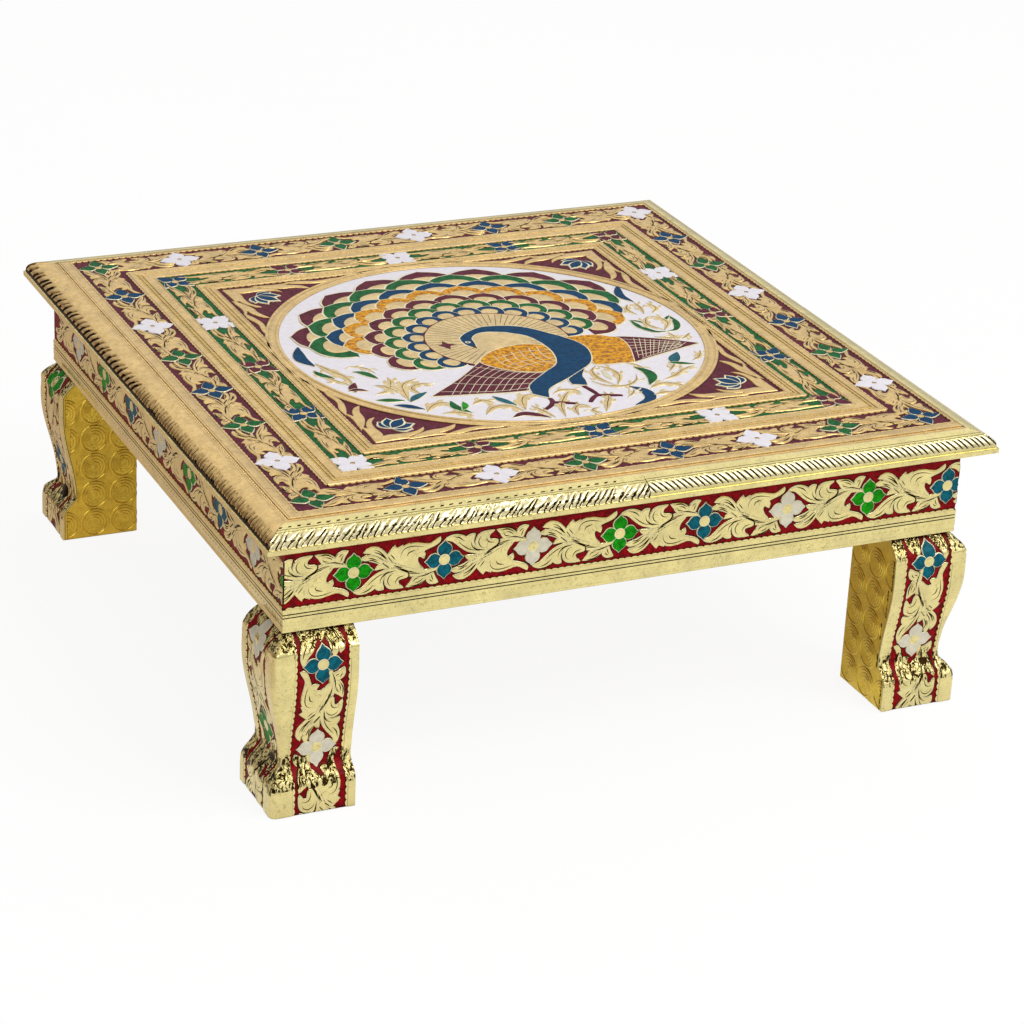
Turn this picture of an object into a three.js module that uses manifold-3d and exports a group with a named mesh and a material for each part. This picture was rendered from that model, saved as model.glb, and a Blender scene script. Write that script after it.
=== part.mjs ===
// Bajot: a square low table. A wooden carcass of board, rails and four block legs is clad in
// embossed sheet metal. Millimetres, +Z up, origin on the floor under the middle of the top.

import * as THREE from 'three';
import { mergeVertices } from 'three/addons/utils/BufferGeometryUtils.js';
import Module from 'manifold-3d';

const wasm = await Module();
wasm.setup();

// Overall sizes
const tableSide = 380;
const tableHeight = 148;
const apronHeight = 45.5;
const overhang = 12.5;

// Sheet metal: depth is from the back of the sheet to the crest of its relief
const sheetDepth = 1;
const foldDepth = 0.4;
const foilDepth = 0.5;
const glueLine = 0.3;

// Top board and the moulding that its edge strips cover
const boardThickness = 8;
const mouldingWidth = 12;
const lipHeight = 3.8;
const lipStep = 1;
const ovoloSteps = 8;

// Bands of the top sheet, from its narrowest margin inwards, and how far the pressed pattern sits
// off centre
const patternShiftX = 4.2;
const patternShiftY = 3.6;
const marginWidth = 1.2;
const outerBandWidth = 24.6;
const outerGoldWidth = 11;
const innerBandWidth = 18.1;
const innerGoldWidth = 7.3;
const enamelDepth = 0.5;
const ringWidth = 7;
const ringOverlap = 5;
const discRadius = 38;
const roundSides = 48;

// Apron
const railThickness = 12;
const railFoldWidth = 9;

// Legs: insets are how far the curved faces draw in from the foot and the knee
const legWidth = 42;
const legProud = 6.5;
const legCornerRadius = 3.5;
const footHeight = 15;
const footRise = 10;
const waistInset = 6.8;
const kneeRun = 12;
const kneeDrop = 8.5;
const kneeInset = 8.5;
const footClearance = 0.5;
const footRiseSteps = 5;
const shankSteps = 8;
const kneeSteps = 3;
const cornerSteps = 4;

// Corner joints: each block shows past the inner faces of its leg
const blockReveal = 2.1;
const screwLength = 72;
const screwDiameter = 4;
const screwHeadDiameter = 7;
const screwHeadHeight = 3;
const screwPointLength = 6;
const dowelDiameter = 6;
const dowelLength = 36;
const jointOffsetShare = 0.2;
const fastenerSides = 12;

// Nails
const nailDiameter = 2;
const nailLength = 32;
const nailHeadDiameter = 4;
const nailHeadHeight = 0.8;
const nailPointLength = 3;
const railNailShares = [0.27, 0.73];
const topNailShares = [-0.45, 0.45];

// Worked out from the sizes above
const cutOverrun = 1;
const quarterTurn = Math.PI / 2;
const tableHalf = tableSide / 2;
const flatHalf = tableHalf - mouldingWidth;
const apronHalf = tableHalf - overhang;
const edgeHeight = boardThickness + sheetDepth + foldDepth + glueLine * 2;
const mouldingHeight = edgeHeight - lipHeight;
const lipBottom = tableHeight - edgeHeight;
const boardBottom = lipBottom + foldDepth + glueLine;
const boardTop = boardBottom + boardThickness;
const apronBottom = lipBottom - apronHeight;
const railOuter = apronHalf - sheetDepth - glueLine;
const railInner = railOuter - railThickness;
const railBottom = apronBottom + foldDepth + glueLine;
const railTop = boardBottom - glueLine;
const railHeight = railTop - railBottom;
const legTop = apronBottom - glueLine;
const legOuter = apronHalf + legProud;
const legInner = legOuter - legWidth;
const blockBottom = legTop + glueLine;
const blockTop = boardBottom - glueLine;
const jointMiddle = (legInner + railInner) / 2;
const jointOffset = (railInner - legInner) * jointOffsetShare;

const goldMaterial = new THREE.MeshStandardMaterial({ color: 0xd9c078, roughness: 0.35, metalness: 0.85 });
const enamelMaterial = new THREE.MeshStandardMaterial({ color: 0xb98a62, roughness: 0.4, metalness: 0.6 });
const coinFoilMaterial = new THREE.MeshStandardMaterial({ color: 0xbc9c2c, roughness: 0.38, metalness: 0.85 });
const boardMaterial = new THREE.MeshStandardMaterial({ color: 0xb58a5c, roughness: 0.75, metalness: 0 });
const timberMaterial = new THREE.MeshStandardMaterial({ color: 0xa8794a, roughness: 0.8, metalness: 0 });
const dowelMaterial = new THREE.MeshStandardMaterial({ color: 0xcaa474, roughness: 0.7, metalness: 0 });
const steelMaterial = new THREE.MeshStandardMaterial({ color: 0x9a9a98, roughness: 0.4, metalness: 0.9 });

// Solids: a closed geometry becomes a solid to cut or join, and comes back as a geometry

function solidOf(geometry) {
  const bare = geometry.clone();
  bare.deleteAttribute('normal');
  bare.deleteAttribute('uv');
  const merged = mergeVertices(bare);
  return new wasm.Manifold(new wasm.Mesh({
    numProp: 3,
    vertProperties: new Float32Array(merged.attributes.position.array),
    triVerts: new Uint32Array(merged.index.array),
  }));
}

function geometryOf(solid) {
  const mesh = solid.getMesh();
  const geometry = new THREE.BufferGeometry();
  geometry.setAttribute('position', new THREE.BufferAttribute(mesh.vertProperties, mesh.numProp));
  geometry.setIndex(new THREE.BufferAttribute(mesh.triVerts, 1));
  geometry.computeVertexNormals();
  return geometry;
}

function cut(geometry, cutters) {
  let solid = solidOf(geometry);
  for (const cutter of cutters) {
    solid = solid.subtract(solidOf(cutter));
  }
  return geometryOf(solid);
}

function join(geometry, others) {
  let solid = solidOf(geometry);
  for (const other of others) {
    solid = solid.add(solidOf(other));
  }
  return geometryOf(solid);
}

function named(name, geometry, material) {
  const mesh = new THREE.Mesh(geometry, material);
  mesh.name = name;
  return mesh;
}

// A box between two corners
function boxBetween(low, high) {
  const size = high.map((value, axis) => value - low[axis]);
  const box = new THREE.BoxGeometry(...size);
  box.translate(...high.map((value, axis) => (value + low[axis]) / 2));
  return box;
}

// A square turning: an outline of [distance from the middle, height] taken round four mitred sides
function squareTurning(outline) {
  const cornerReach = Math.SQRT2;
  const points = outline.map(([reach, height]) => new THREE.Vector2(reach * cornerReach, height));
  const turning = new THREE.LatheGeometry(points, 4, quarterTurn / 2);
  turning.rotateX(quarterTurn);
  return turning;
}

function roundTurning(outline, sides) {
  const points = outline.map(([radius, height]) => new THREE.Vector2(radius, height));
  const turning = new THREE.LatheGeometry(points, sides);
  turning.rotateX(quarterTurn);
  return turning;
}

// A length along the front with an outline of [distance from the middle, height]. Its ends are
// mitred: each end point lies as far along the side as it lies from the middle
function mitredSide(outline) {
  const shape = new THREE.Shape(outline.map(([reach, height]) => new THREE.Vector2(reach, height)));
  const length = new THREE.ExtrudeGeometry(shape, { depth: 1, steps: 1, bevelEnabled: false });
  const position = length.attributes.position;
  for (let index = 0; index < position.count; index += 1) {
    const reach = position.getX(index);
    const height = position.getY(index);
    const end = position.getZ(index) > 0 ? -1 : 1;
    position.setXYZ(index, end * (reach - glueLine), -reach, height);
  }
  return length;
}

// The quarter-round moulding, from the flat of the top down and out to the lip
function ovolo(reach, drop, startHeight) {
  const points = [];
  for (let step = 0; step <= ovoloSteps; step += 1) {
    const angle = quarterTurn * step / ovoloSteps;
    points.push([
      flatHalf + reach * Math.sin(angle),
      startHeight - drop * (1 - Math.cos(angle)),
    ]);
  }
  return points;
}

const ovoloReach = mouldingWidth - lipStep;

// Nails and screws stand along +Z with the top of the head at zero and the point below
function nailOutline(clearance) {
  const shank = nailDiameter / 2 + clearance;
  const head = nailHeadDiameter / 2 + clearance;
  return [
    [0, -nailLength - clearance],
    [shank, -nailLength + nailPointLength - clearance],
    [shank, -nailHeadHeight - clearance],
    [head, -nailHeadHeight - clearance],
    [head, clearance],
    [0, clearance],
  ];
}

function screwOutline(clearance) {
  const shank = screwDiameter / 2 + clearance;
  const head = screwHeadDiameter / 2 + clearance;
  return [
    [0, -screwLength - clearance],
    [shank, -screwLength + screwPointLength - clearance],
    [shank, -screwHeadHeight - clearance],
    [head, -clearance],
    [head, clearance],
    [0, clearance],
  ];
}

function nail() {
  return roundTurning(nailOutline(0), fastenerSides);
}

function nailHole() {
  return roundTurning(nailOutline(glueLine), fastenerSides);
}

function screw() {
  return roundTurning(screwOutline(0), fastenerSides);
}

function screwHole() {
  return roundTurning(screwOutline(glueLine), fastenerSides);
}

function dowelAt(x, y, height, clearance) {
  const dowel = new THREE.CylinderGeometry(
    dowelDiameter / 2 + clearance,
    dowelDiameter / 2 + clearance,
    dowelLength + clearance * 2,
    fastenerSides,
  );
  dowel.rotateX(quarterTurn);
  dowel.translate(x, y, height);
  return dowel;
}

// Nail places on one rail, in the frame of the front rail

const railNails = railNailShares.map((share) => ({
  x: -railOuter + railThickness / 2,
  y: -railOuter,
  z: railBottom + railHeight * share,
}));

const topNails = topNailShares.map((share) => ({
  x: railOuter * share,
  y: -railOuter + railThickness / 2,
  z: boardTop - glueLine,
}));

function lieThroughRail(geometry, place) {
  geometry.rotateX(quarterTurn);
  geometry.translate(place.x, place.y, place.z);
  return geometry;
}

function standInTop(geometry, place) {
  geometry.translate(place.x, place.y, place.z);
  return geometry;
}

// Top board: its moulded edge sits under the strips, and nails pass down through it

function topBoard() {
  const inset = sheetDepth + glueLine;
  const moulding = ovolo(ovoloReach - inset, mouldingHeight - inset, tableHeight - inset);
  const edge = moulding[moulding.length - 1];
  const board = squareTurning([[0, boardBottom], [edge[0], boardBottom], ...moulding.reverse(), [0, boardTop]]);
  const holes = [];
  for (let side = 0; side < 4; side += 1) {
    for (const place of topNails) {
      holes.push(standInTop(nailHole(), place).rotateZ(quarterTurn * side));
    }
  }
  return named('top_board', cut(board, holes), boardMaterial);
}

// Top sheet: enamel bands and the round medallion are pressed below the gold

function squareTrench(outerHalf, width) {
  const floor = tableHeight - enamelDepth;
  const innerHalf = outerHalf - width;
  const above = tableHeight + cutOverrun;
  const trench = squareTurning([
    [innerHalf, floor], [outerHalf, floor], [outerHalf, above], [innerHalf, above], [innerHalf, floor],
  ]);
  return trench.translate(patternShiftX, patternShiftY, 0);
}

function topSheet() {
  const half = flatHalf - glueLine;
  const back = tableHeight - sheetDepth;
  const floor = tableHeight - enamelDepth;
  const outerBandHalf = flatHalf - marginWidth - Math.max(patternShiftX, patternShiftY);
  const innerBandHalf = outerBandHalf - outerBandWidth - outerGoldWidth;
  const fieldHalf = innerBandHalf - innerBandWidth - innerGoldWidth;
  const ringOuter = fieldHalf + ringOverlap;
  const ringInner = ringOuter - ringWidth;
  const plate = boxBetween([-half, -half, back], [half, half, tableHeight]);
  const field = squareTurning([
    [0, floor], [fieldHalf, floor], [fieldHalf, tableHeight + cutOverrun], [0, tableHeight + cutOverrun],
  ]).translate(patternShiftX, patternShiftY, 0);
  const ring = roundTurning([
    [ringInner, back], [ringOuter, back], [ringOuter, tableHeight], [ringInner, tableHeight], [ringInner, back],
  ], roundSides).translate(patternShiftX, patternShiftY, 0);
  const disc = roundTurning([
    [0, back], [discRadius, back], [discRadius, tableHeight], [0, tableHeight],
  ], roundSides).translate(patternShiftX, patternShiftY, 0);
  const pressed = cut(plate, [
    squareTrench(outerBandHalf, outerBandWidth),
    squareTrench(innerBandHalf, innerBandWidth),
    field,
  ]);
  return named('top_sheet', join(pressed, [ring, disc]), enamelMaterial);
}

// Edge strip: covers one side of the moulding, hems over the lip, folds under the overhang

function edgeStripOutline() {
  const outer = ovolo(ovoloReach, mouldingHeight, tableHeight);
  const inner = ovolo(ovoloReach - sheetDepth, mouldingHeight - sheetDepth, tableHeight - sheetDepth);
  const hemInner = flatHalf + ovoloReach - sheetDepth;
  const foldEnd = apronHalf + glueLine;
  return [
    ...outer,
    [tableHalf, tableHeight - mouldingHeight],
    [tableHalf, lipBottom],
    [foldEnd, lipBottom],
    [foldEnd, lipBottom + foldDepth],
    [hemInner, lipBottom + foldDepth],
    ...inner.reverse(),
  ];
}

function edgeStrip(name) {
  return named(name, mitredSide(edgeStripOutline()), goldMaterial);
}

// Rails: each covers the end of the one before it, and two nails hold that butt joint

function rail(name) {
  const stock = boxBetween(
    [-railOuter, -railOuter, railBottom],
    [railInner - glueLine, -railInner, railTop],
  );
  const endNails = railNails.map((place) => lieThroughRail(nailHole(), place));
  const nextEndNails = railNails.map((place) => lieThroughRail(nailHole(), place).rotateZ(quarterTurn));
  const boardNails = topNails.map((place) => standInTop(nailHole(), place));
  return named(name, cut(stock, [...endNails, ...nextEndNails, ...boardNails]), timberMaterial);
}

// Apron sheet: covers the face of one rail and folds under it, with mitred corners

function apronSheet(name) {
  const back = apronHalf - sheetDepth;
  const foldEnd = apronHalf - railFoldWidth;
  const top = lipBottom;
  const sheet = mitredSide([
    [apronHalf, apronBottom],
    [apronHalf, top],
    [back, top],
    [back, apronBottom + foldDepth],
    [foldEnd, apronBottom + foldDepth],
    [foldEnd, apronBottom],
  ]);
  return named(name, sheet, goldMaterial);
}

// Legs stand in a frame of their own: zero is the inner corner, and both axes point outwards

function ease(share) {
  return (1 - Math.cos(Math.PI * share)) / 2;
}

// Heights of the levels of a leg, with how far each level draws in
function legLevels(bottom) {
  const waist = footHeight + footRise;
  const knee = legTop - kneeDrop;
  const kneeStart = knee - kneeRun;
  const levels = [[bottom, 0], [footHeight, 0]];
  for (let step = 1; step <= footRiseSteps; step += 1) {
    const share = step / footRiseSteps;
    levels.push([footHeight + footRise * share, waistInset * ease(share)]);
  }
  for (let step = 1; step <= shankSteps; step += 1) {
    const share = step / shankSteps;
    levels.push([waist + (kneeStart - waist) * share, waistInset * (1 - ease(share))]);
  }
  for (let step = 0; step <= kneeSteps; step += 1) {
    const angle = quarterTurn / 2 * step / kneeSteps;
    const share = (1 - Math.cos(angle)) / (1 - Math.cos(quarterTurn / 2));
    levels.push([knee + kneeDrop * step / kneeSteps, kneeInset * (share + step / kneeSteps) / 2]);
  }
  return levels;
}

// A plan shape raised through the levels: what lies outside the middle draws in with the curve
function curvedLegPiece(plan, bottom) {
  const levels = legLevels(bottom);
  const piece = new THREE.ExtrudeGeometry(plan, { depth: 1, steps: levels.length - 1, bevelEnabled: false });
  const position = piece.attributes.position;
  const middle = legWidth / 2;
  for (let index = 0; index < position.count; index += 1) {
    const level = levels[Math.round(position.getZ(index) * (levels.length - 1))];
    const x = position.getX(index);
    const y = position.getY(index);
    position.setXYZ(index, x > middle ? x - level[1] : x, y > middle ? y - level[1] : y, level[0]);
  }
  return piece;
}

// Points round the outer corner of a leg, from the face across Y to the face across X
function outerCorner(reach, radius) {
  const points = [];
  for (let step = 0; step <= cornerSteps; step += 1) {
    const angle = quarterTurn * step / cornerSteps;
    points.push(new THREE.Vector2(
      reach - radius + radius * Math.cos(angle),
      reach - radius + radius * Math.sin(angle),
    ));
  }
  return points;
}

const legWoodStart = foilDepth + glueLine;
const legWoodEnd = legWidth - sheetDepth - glueLine;
const jointInLeg = jointMiddle - legInner;

function leg(name) {
  const plan = new THREE.Shape([
    new THREE.Vector2(legWoodStart, legWoodStart),
    new THREE.Vector2(legWoodEnd, legWoodStart),
    ...outerCorner(legWoodEnd, legCornerRadius - sheetDepth - glueLine),
    new THREE.Vector2(legWoodStart, legWoodEnd),
  ]);
  const near = jointInLeg - jointOffset;
  const far = jointInLeg + jointOffset;
  const holes = [
    screwHole().translate(far, near, blockTop),
    dowelAt(near, far, legTop, glueLine),
  ];
  return named(name, cut(curvedLegPiece(plan, 0), holes), timberMaterial);
}

function legSheet(name) {
  const back = legWidth - sheetDepth;
  const plan = new THREE.Shape([
    new THREE.Vector2(legWidth, 0),
    ...outerCorner(legWidth, legCornerRadius),
    new THREE.Vector2(0, legWidth),
    new THREE.Vector2(0, back),
    ...outerCorner(back, legCornerRadius - sheetDepth).reverse(),
    new THREE.Vector2(back, 0),
  ]);
  return named(name, curvedLegPiece(plan, footClearance), enamelMaterial);
}

function legFoil(name) {
  const end = legWidth - sheetDepth - glueLine;
  const plan = new THREE.Shape([
    new THREE.Vector2(0, 0),
    new THREE.Vector2(end, 0),
    new THREE.Vector2(end, foilDepth),
    new THREE.Vector2(foilDepth, foilDepth),
    new THREE.Vector2(foilDepth, end),
    new THREE.Vector2(0, end),
  ]);
  return named(name, curvedLegPiece(plan, footClearance), coinFoilMaterial);
}

// Corner blocks, in the frame of the front right corner, and what ties the legs to them

const screwPlace = [jointMiddle + jointOffset, jointMiddle - jointOffset];
const dowelPlace = [jointMiddle - jointOffset, jointMiddle + jointOffset];

function cornerBlock(name) {
  const far = railInner - glueLine;
  const near = legInner - blockReveal;
  const stock = boxBetween([near, near, blockBottom], [far, far, blockTop]);
  const holes = [
    screwHole().translate(...screwPlace, blockTop),
    dowelAt(...dowelPlace, legTop, glueLine),
  ];
  return named(name, cut(stock, holes), timberMaterial);
}

// Assembly: the four sides and the four corners are quarter turns of one another

const table = new THREE.Group();
table.add(topBoard(), topSheet());

const sideNames = ['front', 'right', 'back', 'left'];
sideNames.forEach((sideName, turn) => {
  const side = new THREE.Group();
  side.rotation.z = quarterTurn * turn;
  side.add(edgeStrip(`edge_strip_${sideName}`));
  side.add(rail(`rail_${sideName}`));
  side.add(apronSheet(`apron_sheet_${sideName}`));
  railNails.forEach((place, index) => {
    side.add(named(`rail_nail_${sideName}_${index + 1}`, lieThroughRail(nail(), place), steelMaterial));
  });
  topNails.forEach((place, index) => {
    side.add(named(`top_nail_${sideName}_${index + 1}`, standInTop(nail(), place), steelMaterial));
  });
  table.add(side);
});

const cornerNames = ['back_right', 'back_left', 'front_left', 'front_right'];
cornerNames.forEach((cornerName, turn) => {
  const corner = new THREE.Group();
  corner.rotation.z = quarterTurn * turn;
  const legFrame = new THREE.Group();
  legFrame.position.set(legInner, legInner, 0);
  legFrame.add(leg(`leg_${cornerName}`));
  legFrame.add(legSheet(`leg_sheet_${cornerName}`));
  legFrame.add(legFoil(`leg_foil_${cornerName}`));
  corner.add(legFrame);
  corner.add(cornerBlock(`corner_block_${cornerName}`));
  corner.add(named(`leg_screw_${cornerName}`, screw().translate(...screwPlace, blockTop), steelMaterial));
  corner.add(named(`leg_dowel_${cornerName}`, dowelAt(...dowelPlace, legTop, 0), dowelMaterial));
  table.add(corner);
});

export default table;
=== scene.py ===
"""Bajot low table: pressed gold sheet with enamel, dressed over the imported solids."""

import math
from collections import namedtuple
from functools import lru_cache

import bmesh
import bpy
import numpy as np
from bpy.props import FloatProperty, FloatVectorProperty, PointerProperty
from bpy.types import Operator, Panel, PropertyGroup
from mathutils import Matrix, Vector, noise
from mathutils.geometry import delaunay_2d_cdt


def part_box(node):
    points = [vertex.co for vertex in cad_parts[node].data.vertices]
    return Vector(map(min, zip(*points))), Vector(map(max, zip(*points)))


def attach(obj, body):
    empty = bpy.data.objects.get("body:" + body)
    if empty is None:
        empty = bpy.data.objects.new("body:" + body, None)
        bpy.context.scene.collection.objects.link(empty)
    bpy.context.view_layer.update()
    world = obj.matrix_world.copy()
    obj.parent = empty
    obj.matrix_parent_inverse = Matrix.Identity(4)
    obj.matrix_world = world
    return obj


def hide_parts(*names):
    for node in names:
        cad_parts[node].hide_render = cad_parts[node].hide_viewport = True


bl_info = {
    "name": "Bajot low table",
    "version": (1, 0, 0),
    "blender": (4, 5, 0),
    "location": "3D View > Sidebar > Bajot",
    "description": "Dresses a low table in pressed gold sheet and enamel",
    "category": "Add Mesh",
}

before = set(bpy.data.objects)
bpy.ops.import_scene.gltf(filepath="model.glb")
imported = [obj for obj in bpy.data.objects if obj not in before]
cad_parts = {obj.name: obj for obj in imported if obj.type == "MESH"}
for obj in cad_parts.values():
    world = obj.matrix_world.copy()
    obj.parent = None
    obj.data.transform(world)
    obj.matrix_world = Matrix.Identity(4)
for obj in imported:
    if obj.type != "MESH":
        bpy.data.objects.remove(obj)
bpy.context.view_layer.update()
MM = 0.001


def box_in_mm(node):
    """Lowest and highest corner of a solid, in millimetres."""
    low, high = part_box(node)
    return np.array(low) / MM, np.array(high) / MM


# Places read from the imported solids, in millimetres

MITRE = 0.04
GLUE = 0.3
TOP_Z = box_in_mm("top_sheet")[1][2]
FLAT_HALF = box_in_mm("top_sheet")[1][0] + GLUE
TABLE_HALF = box_in_mm("edge_strip_right")[1][0]
LIP_BOTTOM = box_in_mm("edge_strip_front")[0][2]
APRON_HALF = box_in_mm("apron_sheet_right")[1][0]
APRON_BOTTOM = box_in_mm("apron_sheet_front")[0][2]
LEG_INNER = box_in_mm("leg_foil_back_right")[0][0]
LEG_BOTTOM = box_in_mm("leg_sheet_back_right")[0][2]
LEG_TOP = box_in_mm("leg_sheet_back_right")[1][2]
LEG_WIDTH = box_in_mm("leg_sheet_back_right")[1][0] - LEG_INNER

SIDES = ("front", "right", "back", "left")
CORNERS = ("back_right", "back_left", "front_left", "front_right")

# Finishes, in the order in which a piece lists them

FINISHES = (
    "front_gold",
    "top_gold",
    "coin_gold",
    "groove",
    "wire",
    "red",
    "maroon",
    "green",
    "blue",
    "white",
    "amber",
    "leaf_green",
    "teal",
    "pale",
    "scale_gold",
    "rib_gold",
    "folded",
)
GOLD, TOP_GOLD, COIN_GOLD, DARK_MARK_AND_SHADE, WIRE_AND_EDGE_HIGHLIGHT, RED, MAROON, GREEN = range(8)
BLUE, WHITE, AMBER, LEAF_GREEN, TEAL, PALE, SCALE_GOLD, HIGHLIGHT_GOLD, FOLDED = range(8, 17)


# Settings that a user would change


def length_setting(name, description, metres):
    """A length property."""
    return FloatProperty(name=name, description=description, default=metres, unit="LENGTH")


class BajotSizes(PropertyGroup):
    """Sizes of the pressed work, in metres."""

    relief_height: length_setting("Relief height", "From the enamel floor to the leaves' crest", 0.0005)
    rope_pitch: length_setting("Rope pitch", "From one rib of the rope moulding to the next", 0.0032)
    rope_depth: length_setting("Rope depth", "Depth of the grooves between the ribs", 0.0008)
    scallop_pitch: length_setting("Scallop pitch", "Between the scallops along the enamel strips", 0.0035)
    crinkle_depth: length_setting("Crinkle depth", "Depth of the folds at the knees and feet", 0.0009)
    coin_pitch: length_setting("Coin pitch", "Between the embossed coins on the inner leg faces", 0.0165)


def colour_setting(name, description, red, green, blue):
    """A colour property, given as it shows on a screen, from 0 to 255."""
    linear = [channel_to_light(value) for value in (red, green, blue)]
    return FloatVectorProperty(
        name=name, description=description, default=linear, subtype="COLOR", size=3, min=0, max=1
    )


def channel_to_light(value):
    """Light level of a screen channel."""
    share = value / 255
    return share / 12.92 if share <= 0.04045 else ((share + 0.055) / 1.055) ** 2.4


class BajotColours(PropertyGroup):
    """Colours of the gold, enamel and timber."""

    front_gold: colour_setting("Side gold", "Gold of the sides and legs", 244, 228, 160)
    top_gold: colour_setting("Top gold", "Gold of the top", 238, 203, 138)
    coin_gold: colour_setting("Coin gold", "Gold of the inner leg faces", 242, 208, 84)
    # Dark marks and engraved lines, and painted shade: in the hollows of the gold, in folds and rope
    # grooves, and as painted shadows round leaves and petals.
    groove: colour_setting("Groove", "Tarnish in the engraved lines", 52, 34, 12)
    # Real wire round the enamel, and also the painted highlight on the rims of the medallion's gold
    # leaves.
    wire: colour_setting("Wire", "Fine bright line round the leaves and enamel", 250, 238, 204)
    red: colour_setting("Red", "Enamel ground of the sides", 132, 0, 10)
    maroon: colour_setting("Maroon", "Enamel ground of the top", 94, 26, 46)
    green: colour_setting("Green", "Green enamel of the top", 12, 96, 44)
    blue: colour_setting("Blue", "Blue enamel of the top", 0, 62, 100)
    white: colour_setting("White", "White enamel of the top", 240, 236, 242)
    amber: colour_setting("Amber", "Amber enamel over crumpled foil", 232, 158, 10)
    leaf_green: colour_setting("Leaf green", "Green enamel of the sides", 14, 140, 0)
    teal: colour_setting("Teal", "Blue enamel of the sides", 0, 90, 106)
    pale: colour_setting("Pale", "White enamel of the sides", 222, 216, 194)
    # Painted highlight: a paler copy of the side gold, on the front's rope ribs and the rims of the side
    # and leg leaves.
    rib_gold: colour_setting("Rib gold", "Gold of the ribs of the rope moulding", 244, 232, 186)
    scale_gold: colour_setting("Feather gold", "Gold of the feather eyes", 240, 210, 152)
    timber: colour_setting("Timber", "Rails, blocks and legs", 170, 122, 74)
    board: colour_setting("Board", "Top board seen from below", 186, 142, 92)
    dowel: colour_setting("Dowel", "Turned dowels", 204, 166, 118)
    steel: colour_setting("Steel", "Nails and screws", 150, 150, 148)


def sizes():
    """The sizes in force."""
    return bpy.context.scene.bajot_sizes


def colours():
    """The colours in force."""
    return bpy.context.scene.bajot_colours


# Outlines: flat shapes in millimetres


def arc(points, spacing=0.6):
    """Points along a smooth open line through the given ones."""
    known = np.asarray(points, float)
    padded = np.vstack([2 * known[0] - known[1], known, 2 * known[-1] - known[-2]])
    parts = []
    for before, start, end, after in zip(padded, padded[1:], padded[2:], padded[3:]):
        count = max(1, math.ceil(np.linalg.norm(end - start) / spacing))
        share = np.arange(count)[:, None] / count
        square = share**2 * (2 * before - 5 * start + 4 * end - after) / 2
        cube = share**3 * (3 * start - before - 3 * end + after) / 2
        parts.append(start + share * (end - before) / 2 + square + cube)
    return np.vstack(parts + [known[-1:]])


def arcs_of(runs):
    """Arcs of a closed outline. Each run of points ends at a corner, where the next one starts."""
    return [[before[-1], *run] for before, run in zip([runs[-1], *runs], runs)]


def loop_of(*runs, spacing=0.6):
    """A closed outline of smooth arcs, from runs of points that end at corners."""
    return np.vstack([arc(points, spacing)[:-1] for points in arcs_of(runs)])


def smooth_loop(points, spacing=0.6):
    """A closed outline with no corner."""
    known = list(points)
    line = arc(known[-2:] + known + known[:3], spacing)
    start = np.argmin(np.linalg.norm(line - known[0], axis=1))
    end = start + 1 + np.argmin(np.linalg.norm(line[start + 4 :] - known[0], axis=1)) + 3
    return line[start:end]


def along(line):
    """Share of the length at each point of a line, and the normals there."""
    step = np.gradient(line, axis=0)
    length = np.linalg.norm(step, axis=1, keepdims=True)
    travelled = np.concatenate([[0], np.cumsum(np.linalg.norm(np.diff(line, axis=0), axis=1))])
    normal = np.stack([-step[:, 1], step[:, 0]], 1) / np.maximum(length, 1e-9)
    return travelled / travelled[-1], normal


def stroke(points, width, start=0.0, end=0.0, fullest=0.5, spacing=0.6):
    """Outline of a stroke that is as wide as given at its fullest, with shares left at its ends."""
    line = arc(points, spacing)
    share, normal = along(line)
    rise = np.sin(math.pi / 2 * np.clip(share / fullest, 0, 1))
    fall = np.sin(math.pi / 2 * np.clip((1 - share) / (1 - fullest), 0, 1))
    reach = width / 2 * (start + (1 - start) * rise) * (end + (1 - end) * fall)
    offset = normal * reach[:, None]
    return tidy_loop(np.vstack([line + offset, (line - offset)[::-1]]))


SAME_PLACE = 0.05


def tidy_loop(loop):
    """The loop without points that nearly coincide, turned anticlockwise."""
    kept = [loop[0]]
    for point in loop[1:]:
        if np.linalg.norm(point - kept[-1]) > SAME_PLACE:
            kept.append(point)
    if np.linalg.norm(kept[0] - kept[-1]) <= SAME_PLACE:
        kept.pop()
    kept = np.array(kept)
    following = np.roll(kept, -1, 0)
    area = (kept[:, 0] * following[:, 1] - kept[:, 1] * following[:, 0]).sum()
    return kept if area > 0 else kept[::-1]


def grow(loop, distance):
    """The loop moved outwards, or inwards where the distance is negative."""
    following = np.roll(loop, -1, 0)
    area = (loop[:, 0] * following[:, 1] - loop[:, 1] * following[:, 0]).sum()
    ahead = following - np.roll(loop, 1, 0)
    length = np.maximum(np.linalg.norm(ahead, axis=1, keepdims=True), 1e-9)
    return loop + np.stack([ahead[:, 1], -ahead[:, 0]], 1) / length * distance * np.sign(area)


def inside(points, loop):
    """Whether each point is within the loop, also where a grown loop crosses itself."""
    x, y = points[:, 0, None], points[:, 1, None]
    following = np.roll(loop, -1, 0)
    upward = (loop[:, 1] <= y) & (following[:, 1] > y)
    downward = (loop[:, 1] > y) & (following[:, 1] <= y)
    rise = following[:, 1] - loop[:, 1]
    rise = np.where(np.abs(rise) < 1e-12, 1e-12, rise)
    right = x < (following[:, 0] - loop[:, 0]) * (y - loop[:, 1]) / rise + loop[:, 0]
    return (upward & right).sum(1) - (downward & right).sum(1) > 0


def edge_distance(points, loop):
    """Distance from each point to the loop's line."""
    side = np.roll(loop, -1, 0) - loop
    offset = points[:, None] - loop
    share = np.clip((offset * side).sum(-1) / (side**2).sum(-1), 0, 1)
    return np.sqrt(((offset - share[..., None] * side) ** 2).sum(-1).min(1))


# Patches: triangles with a finish each. Points are x, y and the height above the enamel floor


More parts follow.
